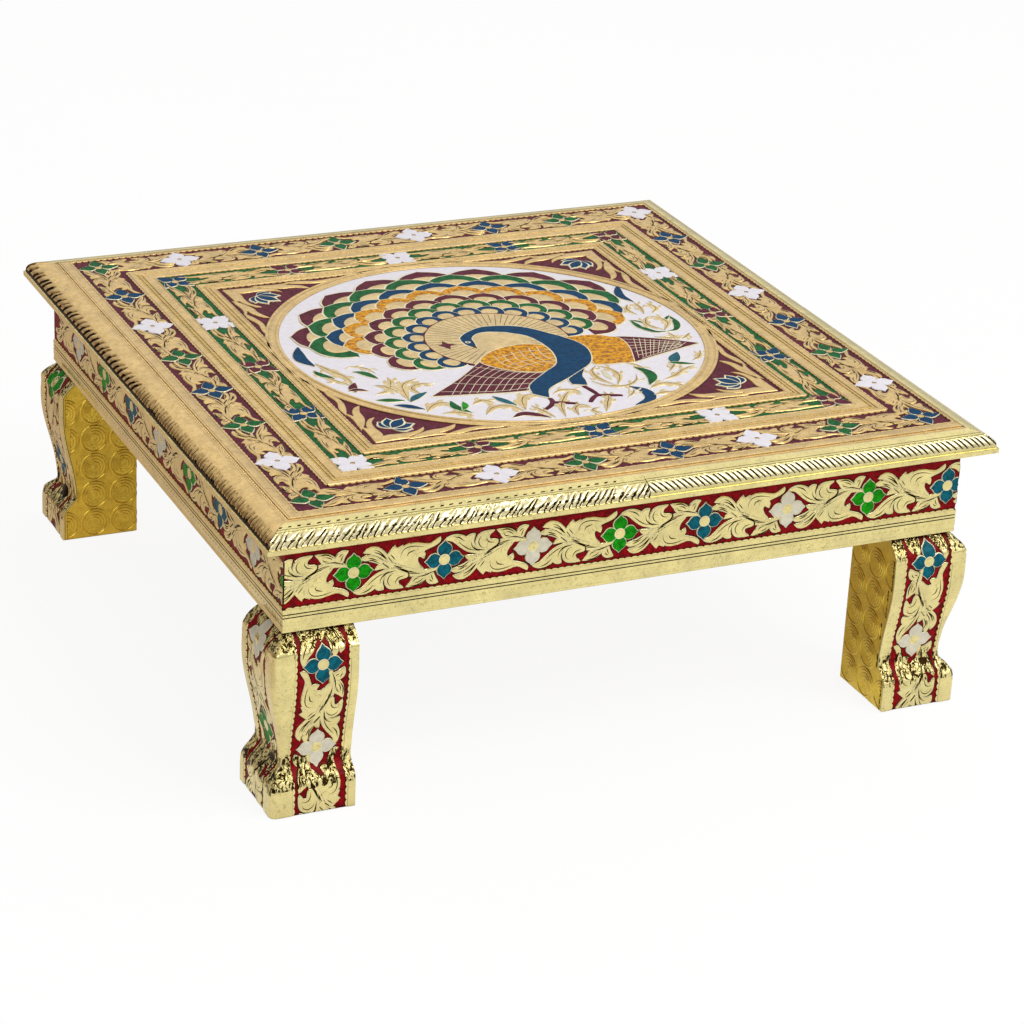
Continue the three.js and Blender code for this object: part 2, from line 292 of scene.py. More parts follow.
Patch = namedtuple("Patch", "points faces finish")
Form = namedtuple("Form", "loop finish way level edge rim", defaults=(None,))


def raised(loop, finish, level, edge=0.9, rim=None):
    """A form that swells up from the floor. It may have a finish of its own along its rim."""
    return Form(tidy_loop(loop), finish, "raise", level, edge, rim)


def filled(loop, finish, level, edge=0.8):
    """A form whose surface is set at a level, whatever lies under it."""
    return Form(tidy_loop(loop), finish, "fill", level, edge)


def engraved(loop, finish, level):
    """A form cut into what lies under it."""
    return Form(tidy_loop(loop), finish, "cut", level, 0.3)


def near(points, loop, margin):
    """Places in the list of the points round a loop."""
    low, high = loop.min(0) - margin, loop.max(0) + margin
    return np.flatnonzero(((points >= low) & (points <= high)).all(1))


def fitting_points(forms, pitch, rim):
    """Points inside the forms: rings near their edges, and a grid between."""
    found = []
    for form in forms:
        for share in (1, 2.6):
            ring = grow(form.loop, -rim * share)
            ring = ring[inside(ring, form.loop)]
            if len(ring):
                found.append(ring[edge_distance(ring, form.loop) > rim * share * 0.75])
    every = np.vstack([form.loop for form in forms])
    low, high = every.min(0), every.max(0)
    across = np.arange(low[0] + pitch / 2, high[0], pitch)
    up = np.arange(low[1] + pitch / 2, high[1], pitch)
    grid = np.stack(np.meshgrid(across, up), -1).reshape(-1, 2)
    grid[:, 0] += (np.round(grid[:, 1] / pitch) % 2) * pitch / 2
    covered = np.zeros(len(grid), bool)
    clear = np.ones(len(grid), bool)
    for form in forms:
        close = near(grid, form.loop, rim * 4)
        covered[close] |= inside(grid[close], form.loop)
        clear[close] &= edge_distance(grid[close], form.loop) > rim * 3.4
    found.append(grid[covered & clear])
    return np.vstack(found)


def face_areas(points, faces):
    """Area of each face seen from above, below zero where it faces down."""
    a, b, c = (points[faces[:, index]] for index in range(3))
    across = (b[:, 0] - a[:, 0]) * (c[:, 1] - a[:, 1])
    return (across - (b[:, 1] - a[:, 1]) * (c[:, 0] - a[:, 0])) / 2


def split_flat(points, edges):
    """Triangles between the points that keep the edges, and which given point each corner is."""
    flat = [Vector(point) for point in points]
    result = delaunay_2d_cdt(flat, edges.tolist(), [], 0, 1e-5, True)
    corners = np.array([list(corner) for corner in result[0]], float).reshape(-1, 2)
    faces = np.array(result[2]).reshape(-1, 3)
    area = face_areas(corners, faces)
    faces[area < 0] = faces[area < 0][:, ::-1]
    origin = np.array([ids[0] if ids else -1 for ids in result[3]])
    return corners, faces[np.abs(area) > 1e-7], origin


def loop_edges(loops):
    """Pairs of neighbouring points of loops that are listed one after another."""
    edges = []
    start = 0
    for loop in loops:
        number = np.arange(len(loop))
        edges.append(np.column_stack([number, np.roll(number, -1)]) + start)
        start += len(loop)
    return np.vstack(edges)


def uppermost(points, loops):
    """The last of the loops over each point, or -1 where there is none."""
    found = np.full(len(points), -1)
    for index, loop in enumerate(loops):
        close = near(points, loop, 0)
        found[close[inside(points[close], loop)]] = index
    return found


def relief(forms, pitch=1.1, rim=0.22, sink=0.35):
    """A closed patch that carries the forms, from a sunk base up to their swelling fronts."""
    loops = [form.loop for form in forms]
    bodies = [form.loop for form in forms if form.way != "cut"]
    points = np.vstack(loops + [fitting_points(forms, pitch, rim)])
    flat, faces, _ = split_flat(points, loop_edges(loops))
    middle = flat[faces].mean(1)
    kept = uppermost(middle, bodies) >= 0
    over = uppermost(middle[kept], loops)
    finish = np.array([form.finish for form in forms])[over]
    for index, form in enumerate(forms):
        if form.rim is not None:
            held = np.flatnonzero(over == index)
            if len(held):
                edged = edge_distance(middle[kept][held], form.loop) < rim * 1.05
                finish[held[edged]] = form.rim
    height = np.zeros(len(flat))
    for form in forms:
        held = near(flat, form.loop, 0)
        held = held[inside(flat[held], form.loop)]
        if not len(held) or form.way == "flat":
            continue
        distance = edge_distance(flat[held], form.loop)
        held, distance = held[distance > rim * 0.3], distance[distance > rim * 0.3]
        swell = np.sqrt(1 - (1 - np.clip(distance / form.edge, 0, 1)) ** 2)
        if form.way == "raise":
            height[held] = np.maximum(height[held], form.level * swell)
        elif form.way == "fill":
            height[held] = form.level * (0.72 + 0.28 * swell)
        else:
            height[held] -= form.level * swell
    return closed_below(np.column_stack([flat, height]), faces[kept], finish, -sink, bodies)


def closed_below(top, faces, finish, base, loops):
    """The patch with walls down to a flat underside that the loops enclose."""
    sides = np.vstack([faces[:, [0, 1]], faces[:, [1, 2]], faces[:, [2, 0]]])
    _, first, count = np.unique(np.sort(sides, 1), axis=0, return_index=True, return_counts=True)
    first = first[count == 1]
    rim, owners = sides[first], first % len(faces)
    used, compact = np.unique(rim, return_inverse=True)
    compact = compact.reshape(-1, 2)
    below = top[used].copy()
    below[:, 2] = base
    low = compact + len(top)
    wall = np.column_stack([rim[:, 1], rim[:, 0], low[:, 0]])
    walls = np.vstack([wall, np.column_stack([rim[:, 1], low[:, 0], low[:, 1]])])
    corners, under, origin = split_flat(below[:, :2], compact)
    held = uppermost(corners[under].mean(1), loops) >= 0
    held &= (origin[under] >= 0).all(1)
    under = origin[under[held]][:, ::-1] + len(top)
    tint = np.concatenate([finish, finish[owners], finish[owners], np.full(len(under), finish[0])])
    return Patch(np.vstack([top, below]), np.vstack([faces, walls, under]), tint)


def moved(patch, x=0.0, y=0.0, turn=0.0, stretch=(1.0, 1.0), lift=0.0):
    """The patch stretched, turned about Z and shifted. A negative stretch mirrors it."""
    flat = patch.points[:, :2] * stretch
    cosine, sine = math.cos(turn), math.sin(turn)
    flat = flat @ np.array([[cosine, sine], [-sine, cosine]]) + (x, y)
    points = np.column_stack([flat, patch.points[:, 2] + lift])
    mirrored = stretch[0] * stretch[1] < 0
    return Patch(points, patch.faces[:, ::-1] if mirrored else patch.faces, patch.finish)


def joined(patches):
    """One patch of several."""
    points, faces, finish = zip(*patches)
    offsets = np.cumsum([0] + [len(part) for part in points])
    faces = [part + offset for part, offset in zip(faces, offsets)]
    return Patch(np.vstack(points), np.vstack(faces), np.concatenate(finish))


def loft(grid, finish, closed_rows=False, closed_columns=False):
    """A patch over a grid of points, columns by rows. The finish is one, or one for each row."""
    columns, rows = grid.shape[:2]
    number = np.arange(columns * rows).reshape(columns, rows)
    if closed_columns:
        number = np.vstack([number, number[:1]])
    if closed_rows:
        number = np.hstack([number, number[:, :1]])
    a, b = number[:-1, :-1].ravel(), number[1:, :-1].ravel()
    c, d = number[1:, 1:].ravel(), number[:-1, 1:].ravel()
    faces = np.vstack([np.column_stack([a, b, c]), np.column_stack([a, c, d])])
    across = number.shape[1] - 1
    tint = np.broadcast_to(np.asarray(finish), (number.shape[0] - 1, across)).ravel()
    return Patch(grid.reshape(-1, 3), faces, np.concatenate([tint, tint]))


def quarter_turned(patch, turn):
    """The patch turned about the middle of the table by quarter turns."""
    angle = math.pi / 2 * turn
    cosine, sine = round(math.cos(angle)), round(math.sin(angle))
    x, y = patch.points[:, 0], patch.points[:, 1]
    points = np.column_stack([x * cosine - y * sine, x * sine + y * cosine, patch.points[:, 2]])
    return Patch(points, patch.faces, patch.finish)


CREASE = math.radians(38)


def make_piece(name, patches, replaces=()):
    """An object of the patches, with the finishes that they use, riding on the table."""
    patch = joined(patches)
    used = sorted(set(patch.finish.tolist()))
    lookup = np.zeros(len(FINISHES), int)
    lookup[used] = range(len(used))
    mesh = bpy.data.meshes.new(name)
    mesh.vertices.add(len(patch.points))
    mesh.vertices.foreach_set("co", (patch.points * MM).astype(np.float32).ravel())
    mesh.loops.add(len(patch.faces) * 3)
    mesh.loops.foreach_set("vertex_index", patch.faces.astype(np.int32).ravel())
    mesh.polygons.add(len(patch.faces))
    mesh.polygons.foreach_set("loop_start", np.arange(len(patch.faces), dtype=np.int32) * 3)
    mesh.polygons.foreach_set("material_index", lookup[patch.finish].astype(np.int32))
    mesh.polygons.foreach_set("use_smooth", np.ones(len(patch.faces), bool))
    mesh.update()
    mesh.validate()
    mesh.set_sharp_from_angle(angle=CREASE)
    for finish in used:
        mesh.materials.append(bpy.data.materials[FINISHES[finish]])
    piece = bpy.data.objects.new(name, mesh)
    bpy.context.scene.collection.objects.link(piece)
    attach(piece, "root")
    if replaces:
        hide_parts(*replaces)


# Finishes


def node(tree, kind, inputs, **settings):
    """A shader node with its settings. Inputs are values or the outputs of other nodes."""
    made = tree.nodes.new("ShaderNode" + kind)
    for name, value in settings.items():
        setattr(made, name, value)
    for name, value in inputs.items():
        if isinstance(value, bpy.types.NodeSocket):
            tree.links.new(value, made.inputs[name])
        else:
            made.inputs[name].default_value = value
    return made


def new_finish(name):
    """A material with an empty tree but for its output, and the coordinates of the object."""
    material = bpy.data.materials.new(name)
    material.use_nodes = True
    tree = material.node_tree
    tree.nodes.clear()
    place = node(tree, "TexCoord", {}).outputs["Object"]
    return tree, place


def show(tree, inputs):
    """Sends a shader with the inputs to the material's output."""
    shader = node(tree, "BsdfPrincipled", inputs)
    node(tree, "OutputMaterial", {"Surface": shader.outputs[0]})


def sum_of(tree, operation, *values):
    """What an arithmetic operation makes of values and outputs."""
    return node(tree, "Math", dict(enumerate(values)), operation=operation).outputs[0]


def blend(tree, share, first, second, kind="MIX"):
    """A colour between two others."""
    inputs = {0: share, 6: first, 7: second}
    return node(tree, "Mix", inputs, data_type="RGBA", blend_type=kind).outputs[2]


def shade(colour, factor, turn=(1, 1, 1)):
    """The colour made lighter or darker, and shifted in hue, as RGBA."""
    return tuple(min(1, channel * factor * one) for channel, one in zip(colour, turn)) + (1,)


def ramp(tree, share, stops):
    """A colour ramp. Each stop is a place and a colour."""
    made = node(tree, "ValToRGB", {"Fac": share})
    elements = made.color_ramp.elements
    while len(elements) < len(stops):
        elements.new(0.5)
    for element, (place, colour) in zip(elements, stops):
        element.position = place
        element.color = colour
    return made.outputs["Color"]


def span(tree, value, low, high, to_low, to_high):
    """The value carried from one range to another."""
    inputs = {"Value": value, "From Min": low, "From Max": high, "To Min": to_low, "To Max": to_high}
    return node(tree, "MapRange", inputs).outputs["Result"]


def speckle(tree, place, size, detail=2.0, roughness=0.5):
    """Noise with grains of the given size in metres."""
    inputs = {"Vector": place, "Scale": 1 / size, "Detail": detail, "Roughness": roughness}
    return node(tree, "TexNoise", inputs).outputs["Fac"]


def ridged(tree, height, strength, distance, normal=None):
    """A normal from a height."""
    inputs = {"Height": height, "Strength": strength, "Distance": distance}
    if normal is not None:
        inputs["Normal"] = normal
    return node(tree, "Bump", inputs).outputs["Normal"]


def sheet_gold(
    name, colour, dark, sheen, dent, hammered=0.0, hollow_shade=1.0, mirror=1.0, scratched=0.0, mottled_shade=1.0
):
    """Pressed gold sheet: bright on the crests, with painted shade in the hollows, uneven and finely
    lined.
    """
    tree, place = new_finish(name)
    drift = speckle(tree, place, 0.012, 3)
    tint = ramp(tree, drift, [(0.3, shade(colour, 0.86)), (0.7, shade(colour, 1.06, (1, 1, 0.96)))])
    # Painted shade: darker blotches and flecks at random, standing in for the uneven reflection of the
    # pressed sheet.
    patch = span(tree, speckle(tree, place, 0.0035, 3, 0.6), 0.46, 0.64, 0, 0.5 * mottled_shade)
    tint = blend(tree, patch, tint, shade(colour, 0.68, (1, 0.96, 0.78)))
    fleck = span(tree, speckle(tree, place, 0.0014, 3, 0.6), 0.5, 0.72, 0, 0.45 * mottled_shade)
    tint = blend(tree, fleck, tint, shade(colour, 0.66, (1, 1, 0.8)))
    inputs = {"Vector": place, "Scale": 210.0, "Detail": 1.0, "Distortion": 1.2}
    field = node(tree, "TexNoise", inputs).outputs["Fac"]
    off = sum_of(tree, "ABSOLUTE", sum_of(tree, "SUBTRACT", field, 0.5))
    lines = span(tree, off, 0, 0.02, scratched, 0)
    tint = blend(tree, lines, tint, shade(colour, 0.3, (1, 0.85, 0.6)))
    # Painted shade: darker in the hollows, where less light reaches.
    hollow = node(tree, "AmbientOcclusion", {"Distance": 0.0018}, samples=4).outputs["AO"]
    depth = span(tree, hollow, 0.3, 0.85, 1 - hollow_shade, 1)
    tint = blend(tree, depth, shade(dark, 1), tint)
    grain = speckle(tree, place, 0.0006, 3, 0.6)
    waves = speckle(tree, place, 0.0045, 2)
    normal = ridged(tree, waves, dent, 0.0008)
    normal = ridged(tree, grain, 0.3 + hammered, 0.00012, normal)
    gloss = span(tree, grain, 0.3, 0.7, sheen - 0.06, sheen + 0.08)
    show(tree, {"Base Color": tint, "Metallic": mirror, "Roughness": gloss, "Normal": normal})


def folded_gold(name, colour, dark):
    """Gold foil crushed into fine upright folds, with painted shade in the creases where it turns away."""
    tree, place = new_finish(name)
    upright = node(tree, "Mapping", {"Vector": place, "Scale": (1.0, 1.0, 0.3)}).outputs["Vector"]
    inputs = {"Vector": upright, "Scale": 620.0, "Detail": 3.0, "Roughness": 0.6, "Distortion": 1.0}
    creases = node(tree, "TexNoise", inputs).outputs["Fac"]
    broad = speckle(tree, upright, 0.003, 2)
    deep = span(tree, sum_of(tree, "MULTIPLY_ADD", broad, 0.2, creases), 0.45, 0.75, 0, 1)
    half = shade(colour, 0.45, (1, 1, 0.7))
    # Painted shade: the creases run down to the dark colour.
    tint = ramp(tree, deep, [(0.36, shade(dark, 0.9)), (0.45, half), (0.58, shade(colour, 1))])
    normal = ridged(tree, broad, 0.6, 0.0012)
    normal = ridged(tree, creases, 1.0, 0.001, normal)
    gloss = span(tree, creases, 0.3, 0.7, 0.26, 0.44)
    show(tree, {"Base Color": tint, "Metallic": 1.0, "Roughness": gloss, "Normal": normal})


def enamel(name, colour, glint, crumple=0.25, gloss=0.1, pooling_and_shade=0.5):
    """Translucent enamel on foil: uneven where it pools, with painted shade against the raised gold and
    painted glints of the foil, under a thin clear coat.
    """
    tree, place = new_finish(name)
    pools = speckle(tree, place, 0.003, 3, 0.6)
    low, high = 1 - pooling_and_shade * 0.6, 1 + pooling_and_shade * 0.6
    tint = ramp(tree, pools, [(0.4, shade(colour, low)), (0.6, shade(colour, high))])
    # Painted glints: bright flecks of the foil under the enamel.
    flecks = speckle(tree, place, 0.0008, 2)
    bright = span(tree, flecks, 0.58, 0.75, 0, glint)
    tint = blend(tree, bright, tint, shade([min(1, c * 2.0 + 0.03) for c in colour], 1))
    # Painted shade: darker where the enamel meets the raised gold.
    hollow = node(tree, "AmbientOcclusion", {"Distance": 0.0026}, samples=4).outputs["AO"]
    depth = span(tree, hollow, 0.55, 0.98, 0, 1)
    tint = blend(tree, depth, shade(colour, 1 - pooling_and_shade * 1.5), tint)
    foil = speckle(tree, place, 0.0016, 3, 0.6)
    normal = ridged(tree, foil, crumple, 0.0005)
    coat = ridged(tree, speckle(tree, place, 0.006, 1), 0.12, 0.0006)
    skin = {"Specular IOR Level": gloss, "Coat Weight": gloss, "Coat Roughness": 0.22, "Coat Normal": coat}
    dull = span(tree, foil, 0.3, 0.7, 0.3, 0.5)
    show(tree, {"Base Color": tint, "Roughness": dull, "Normal": normal, **skin})


def crumpled(name, colour):
    """Amber enamel over foil that is crumpled into facets."""
    tree, place = new_finish(name)
    inputs = {"Vector": place, "Scale": 420.0, "Randomness": 1.0}
    facets = node(tree, "TexVoronoi", inputs, feature="F1").outputs["Distance"]
    folds = span(tree, facets, 0, 0.9, 0, 1)
    drift = speckle(tree, place, 0.0025, 3, 0.7)
    burnt, pale = shade(colour, 0.45, (1, 0.8, 0.5)), shade(colour, 1.2, (1, 1.15, 2))
    tint = ramp(tree, drift, [(0.38, burnt), (0.5, shade(colour, 0.95)), (0.62, pale)])
    normal = ridged(tree, folds, 0.9, 0.0012)
    dull = span(tree, drift, 0.3, 0.7, 0.3, 0.5)
    skin = {"Specular IOR Level": 0.1, "Coat Weight": 0.04, "Coat Roughness": 0.1}
    show(tree, {"Base Color": tint, "Metallic": 0.35, "Roughness": dull, "Normal": normal, **skin})


def wood(name, colour, along_axis, grain=0.0022):
    """Sawn wood, with its grain along an axis."""
    tree, place = new_finish(name)
    stretch = [1.0, 1.0, 1.0]
    stretch[along_axis] = 0.06
    fibres = node(tree, "Mapping", {"Vector": place, "Scale": stretch}).outputs["Vector"]
    streak = speckle(tree, fibres, grain, 4, 0.65)
    broad = span(tree, speckle(tree, fibres, grain * 9, 2), 0.35, 0.65, 0, 0.5)
    pores = span(tree, speckle(tree, fibres, grain / 5, 2), 0.62, 0.72, 0, 0.5)
    stops = [(0.3, shade(colour, 0.68)), (0.5, shade(colour, 1)), (0.72, shade(colour, 1.2))]
    tint = blend(tree, broad, ramp(tree, streak, stops), shade(colour, 0.8, (1.05, 0.95, 0.85)))
    tint = blend(tree, pores, tint, shade(colour, 0.4))
    dull = span(tree, streak, 0.2, 0.8, 0.6, 0.8)
    show(tree, {"Base Color": tint, "Roughness": dull, "Normal": ridged(tree, streak, 0.35, 0.0004)})


def nail_steel(name, colour):
    """Drawn steel with a dull zinc skin."""
    tree, place = new_finish(name)
    spots = speckle(tree, place, 0.0011, 3, 0.6)
    tint = ramp(tree, spots, [(0.3, shade(colour, 0.65)), (0.7, shade(colour, 1.1))])
    dull = span(tree, spots, 0.3, 0.7, 0.3, 0.5)
    normal = ridged(tree, spots, 0.3, 0.0002)
    show(tree, {"Base Color": tint, "Metallic": 1.0, "Roughness": dull, "Normal": normal})


def make_finishes():
    """Every finish of the table."""
    tints = colours()
    sheet_gold("front_gold", tints.front_gold, tints.groove, 0.2, 0.3, scratched=0.45, mottled_shade=0.45)
    sheet_gold("top_gold", tints.top_gold, tints.groove, 0.3, 0.2, scratched=0.35)
    sheet_gold("coin_gold", tints.coin_gold, tints.groove, 0.3, 0.3, hollow_shade=0.6)
    sheet_gold("groove", tints.groove, tints.groove, 0.42, 0.2)
    sheet_gold("wire", tints.wire, tints.groove, 0.42, 0.1, hollow_shade=0.3, mirror=0.25)
    folded_gold("folded", tints.front_gold, tints.groove)
    sheet_gold("rib_gold", tints.rib_gold, tints.groove, 0.24, 0.25)
    sheet_gold("scale_gold", tints.scale_gold, tints.groove, 0.3, 0.3, 0.3)
    enamel("red", tints.red, 0.5, gloss=0.05, pooling_and_shade=0.6)
    enamel("maroon", tints.maroon, 0.3, gloss=0.04)
    enamel("green", tints.green, 0.3, gloss=0.04)
    enamel("blue", tints.blue, 0.3, gloss=0.03, pooling_and_shade=0.3)
    enamel("white", tints.white, 0.0, 0.05, 0.05, 0.05)
    enamel("leaf_green", tints.leaf_green, 0.6, 0.4, 0.06)
    enamel("teal", tints.teal, 0.6, 0.4, 0.06)
    enamel("pale", tints.pale, 0.1, 0.4, 0.1, 0.12)
    crumpled("amber", tints.amber)
    wood("timber_x", tints.timber, 0)
    wood("timber_y", tints.timber, 1)
    wood("timber_z", tints.timber, 2)
    wood("board", tints.board, 0, 0.003)
    wood("dowel", tints.dowel, 2, 0.0014)
    nail_steel("steel", tints.steel)


# Ornament, in millimetres: the scroll between two flowers, flat, with the first flower at zero

FLOWER_PITCH = 45.6
SCROLL_REACH = 14.7

SCROLL_LEAVES = (
    (
        [(7, 12.3), (9.7, 12.8), (12.8, 11.4), (15.5, 8.5), (17.3, 5.7), (19.8, 0.3)],
        [(17.6, 1.9), (15.2, 4.7), (12.8, 7.3), (8.2, 10), (5.2, 10.6)],
    ),
    (
        [(6.1, 8.4), (9.1, 7.9), (11.6, 6.6), (13.7, 4.7), (17.6, 1.3)],
        [(15.2, 1.9), (10.3, 4.7), (7.9, 5.6), (3.6, 7)],
    ),
    ([(12.2, 1.6), (14, 2.4), (16.4, 2), (20.7, -0.6)], [(18.2, -0.3), (15.2, 0.3), (10.9, -0.1)]),
    (
        [(19.5, 3.8), (17.3, 7.3), (18.5, 9.5), (20.2, 11.8)],
        [(21, 10.3), (22.2, 10.3), (24.2, 11.4)],
        [(23.1, 9.5), (22.4, 6.3), (22.8, 1.3), (21.9, 0.3)],
    ),
    (
        [
            (23.1, 1.3), (22.3, 5.1), (23, 8.5), (24.9, 10.8), (28, 11.7), (31.6, 11.4), (35.3, 10.4),
            (38.6, 10.3), (43, 13.2),
        ],
        [(42.9, 11.3), (40.7, 9.5), (37.1, 8.1), (34.4, 7)],
        [(35.4, 5.1), (35.1, 2.8)],
        [(33.7, 4.1), (32.3, 4.1), (31.6, 1.9), (32.5, -0.9), (35, -4.1)],
        [(31, -4.7), (26.8, -3.2)],
    ),
    (
        [(19.5, 1.9), (24.3, -0.6), (29.2, -3.2), (34, -4.7), (38.3, -4.7), (42.3, -4)],
        [(40.1, -5.7), (34, -7.1), (29.2, -6.6), (24.3, -4.1), (19.5, -0.9), (14, 4.4)],
    ),
    (
        [
            (3.6, -10.4), (6.1, -8.2), (8.5, -5.7), (11.6, -3.2), (14.6, -1.9), (18.8, -0.8),
            (22.5, -1.4),
        ],
        [(18.2, -3.2), (15.5, -5.1), (14.3, -8.2), (15, -12.3)],
        [(12.8, -12), (10.9, -10.6)],
        [(9.1, -11.9), (6.1, -13), (3, -12.8), (0.3, -11.4)],
    ),
    (
        [
            (21.9, -2.2), (18.5, -3), (16.6, -5.4), (16.1, -8.2), (17.3, -11.1), (19.8, -12.5),
            (24.9, -12.8),
        ],
        [(23, -11.4), (22.2, -9.5), (23.1, -7.7), (27.1, -6.6), (25.5, -3.2)],
    ),
    (
        [(28.5, -10.8), (29.5, -8.9), (31.3, -7.5), (36.8, -7.1)],
        [(36.5, -9), (34.8, -10.9), (32.2, -12.3), (26.9, -12.8)],
    ),
    ([(39.5, -6.6), (40.7, -9.5), (42.4, -12.8)], [(40.1, -13), (37.8, -11.7), (36.2, -7.3)]),
)

SCROLL_VEINS = (
    [(9.7, 10.1), (12.8, 8.7), (16.1, 5.1)],
    [(5.5, 5.1), (9.1, 5.6), (13.1, 3)],
    [(26.4, 4.7), (27.5, 7.1), (31, 8.2)],
    [(21.9, -0.3), (25.5, -3.2), (30.4, -4.3)],
    [(31, -7.7), (35.9, -7.5), (41.3, -5.4)],
    [(14.5, -6), (16.3, -3.3), (21, -2.2)],
    [(3.6, -12.8), (7.3, -11.5), (10.2, -8.7)],
    [(27.7, -12.5), (32.2, -12.5), (35.8, -10)],
    [(19.5, 1.3), (21.9, -0.1), (24.9, -1.4)],
)


def crest():
    """How high the leaves stand above the enamel floor."""
    return sizes().relief_height / MM


@lru_cache(maxsize=None)
def scroll(width, reach, gold, fullness, level):
    """The leaves between two flowers, for a strip of any pitch and half height.

    Leaves of the side gold have a painted highlight along the rim; every leaf has a painted shadow round
    it, shifted to one side, that sets it off from the one below.
    """
    scale = np.array([width / FLOWER_PITCH, reach / SCROLL_REACH])
    forms = []
    leaves = [[np.array(run) * scale for run in leaf] for leaf in SCROLL_LEAVES]
    for leaf in leaves:
        outline = tidy_loop(loop_of(*leaf, spacing=0.85))
        # Painted shadow: a dark ring round the leaf, shifted to one side.
        forms.append(filled(grow(outline, fullness + 0.22) + (0.28, -0.28), DARK_MARK_AND_SHADE, 0.12, 0.3))
        forms.append(raised(grow(outline, fullness), gold, level, rim=HIGHLIGHT_GOLD if gold == GOLD else None))
    for leaf in leaves:
        outline = tidy_loop(loop_of(*leaf))
        for points in arcs_of(leaf)[:2]:
            line = edge_line(points, outline, 1.05)
            if len(line) > 4:
                forms.append(engraved(stroke(line[::2], 0.5, spacing=0.9), DARK_MARK_AND_SHADE, 0.2))
    for vein in SCROLL_VEINS:
        forms.append(engraved(stroke(np.array(vein) * scale, 0.6, spacing=0.9), DARK_MARK_AND_SHADE, 0.25))
    return relief(forms, pitch=1.3, rim=0.32)


def edge_line(points, outline, distance):
    """The middle part of an edge of a leaf, moved into the leaf."""
    line = arc(points, 0.8)
    _, normal = along(line)
    kept = slice(round(len(line) * 0.22), round(len(line) * 0.8))
    moved_in = [line[kept] + normal[kept] * distance * way for way in (1, -1)]
    within = [inside(part, outline) & (edge_distance(part, outline) > distance * 0.7) for part in moved_in]
    best = 0 if within[0].sum() >= within[1].sum() else 1
    return moved_in[best][within[best]]


def disc(radius, x=0.0, y=0.0, sides=24):
    """A round outline."""
    angle = np.arange(sides) * 2 * math.pi / sides
    return np.column_stack([x + radius * np.cos(angle), y + radius * np.sin(angle)])


def petal(reach, half_width, start=1.2, pointed=False):
    """A petal along X: full and rounded with a small tip, or a kite with straight shoulders."""
    if pointed:
        shares = [(0.24, 0.66), (0.46, 1), (0.76, 0.56)]
    else:
        shares = [(0.22, 0.62), (0.46, 1), (0.7, 0.86), (0.86, 0.34)]
    side = [(reach * x, half_width * y) for x, y in shares]
    back = [(x, -y) for x, y in reversed(side)]
    return loop_of([*side, (reach, 0)], [*back, (start, 0)], spacing=0.45)


def turned(loop, angle):
    """The loop turned about zero."""
    cosine, sine = math.cos(angle), math.sin(angle)
    return loop @ np.array([[cosine, sine], [-sine, cosine]])


@lru_cache(maxsize=None)
def flower(colour, reach, slant=0.0, gold=GOLD, pointed=False):
    """A flower of four petals: enamel held by a fine gold wire, and a gold seed in the middle."""
    forms = []
    wired = colour != WHITE
    width = 0.31 if pointed else 0.37
    shape = petal(reach, reach * width, 1.2, pointed) if wired else petal(reach, reach * 0.37, 0.2)
    petals = [turned(shape, slant + quarter * math.pi / 2) for quarter in range(4)]
    # Painted shadow: a dark ring round each petal, shifted to one side.
    for outline in petals:
        forms.append(filled(grow(outline, 0.5) + (0.1, -0.1), DARK_MARK_AND_SHADE, 0.1, 0.3))
    for outline in petals:
        forms.append(raised(grow(outline, 0.2), WIRE_AND_EDGE_HIGHLIGHT if wired else colour, 0.46, 0.3))
    for outline in petals:
        forms.append(filled(grow(outline, -0.16), colour, 0.36 if wired else 0.46, 1.2))
    seed = reach * (0.25 if not pointed else 0.17 if wired else 0.08)
    forms.append(filled(disc(seed + 0.3), DARK_MARK_AND_SHADE if pointed else WIRE_AND_EDGE_HIGHLIGHT, 0.34, 0.6))
    forms.append(raised(disc(seed), gold, 0.5, 1.2))
    return relief(forms, pitch=1.0, rim=0.25)


# Frames and borders, with how far they are sunk below the enamel floor

SUNK = 0.35
BEAD_SIDES = 6


def ring_of_corners(half, x=0.0, y=0.0):
    """Corners of a square, anticlockwise from the front left one."""
    return np.array([(-half, -half), (half, -half), (half, half), (-half, half)]) + (x, y)


def mitred(squares, heights, finish):
    """A closed frame through squares at the heights."""
    levels = np.broadcast_to(np.reshape(heights, (-1, 1, 1)), (len(squares), 4, 1))
    grid = np.concatenate([squares, levels], 2).transpose(1, 0, 2)
    return facing_out(loft(grid, finish, closed_rows=True, closed_columns=True))


def square_frame(section):
    """A mitred square frame. The section lists half size, height and finish, going inwards."""
    first, last = section[0], section[-1]
    closed = [(first[0], -SUNK, first[2]), *section, (last[0], -SUNK, first[2])]
    halves, heights, finish = zip(*closed)
    return mitred([ring_of_corners(half) for half in halves], heights, finish)


def facing_out(patch):
    """The closed patch with its fronts outwards."""
    a, b, c = (patch.points[patch.faces[:, index]] for index in range(3))
    if (a * np.cross(b, c)).sum() < 0:
        return Patch(patch.points, patch.faces[:, ::-1], patch.finish)
    return patch


def shell(outer, inner, finish, back_finish):
    """A sheet between two grids of points of one size. The finish is one for each face of the front."""
    columns, rows = outer.shape[:2]
    front = loft(outer, finish)
    back = loft(inner, back_finish)
    count = columns * rows
    number = np.arange(count).reshape(columns, rows)
    rim = np.concatenate([number[:, 0], number[-1, 1:], number[-2::-1, -1], number[0, -2:0:-1]])
    following = np.roll(rim, -1)
    wall = np.column_stack([following, rim, rim + count])
    walls = np.vstack([wall, np.column_stack([following, rim + count, following + count])])
    points = np.vstack([front.points, back.points])
    faces = np.vstack([front.faces, back.faces[:, ::-1] + count, walls])
    tint = np.concatenate([front.finish, back.finish, np.full(len(walls), back_finish)])
    return facing_out(without_slivers(Patch(points, faces, tint)))


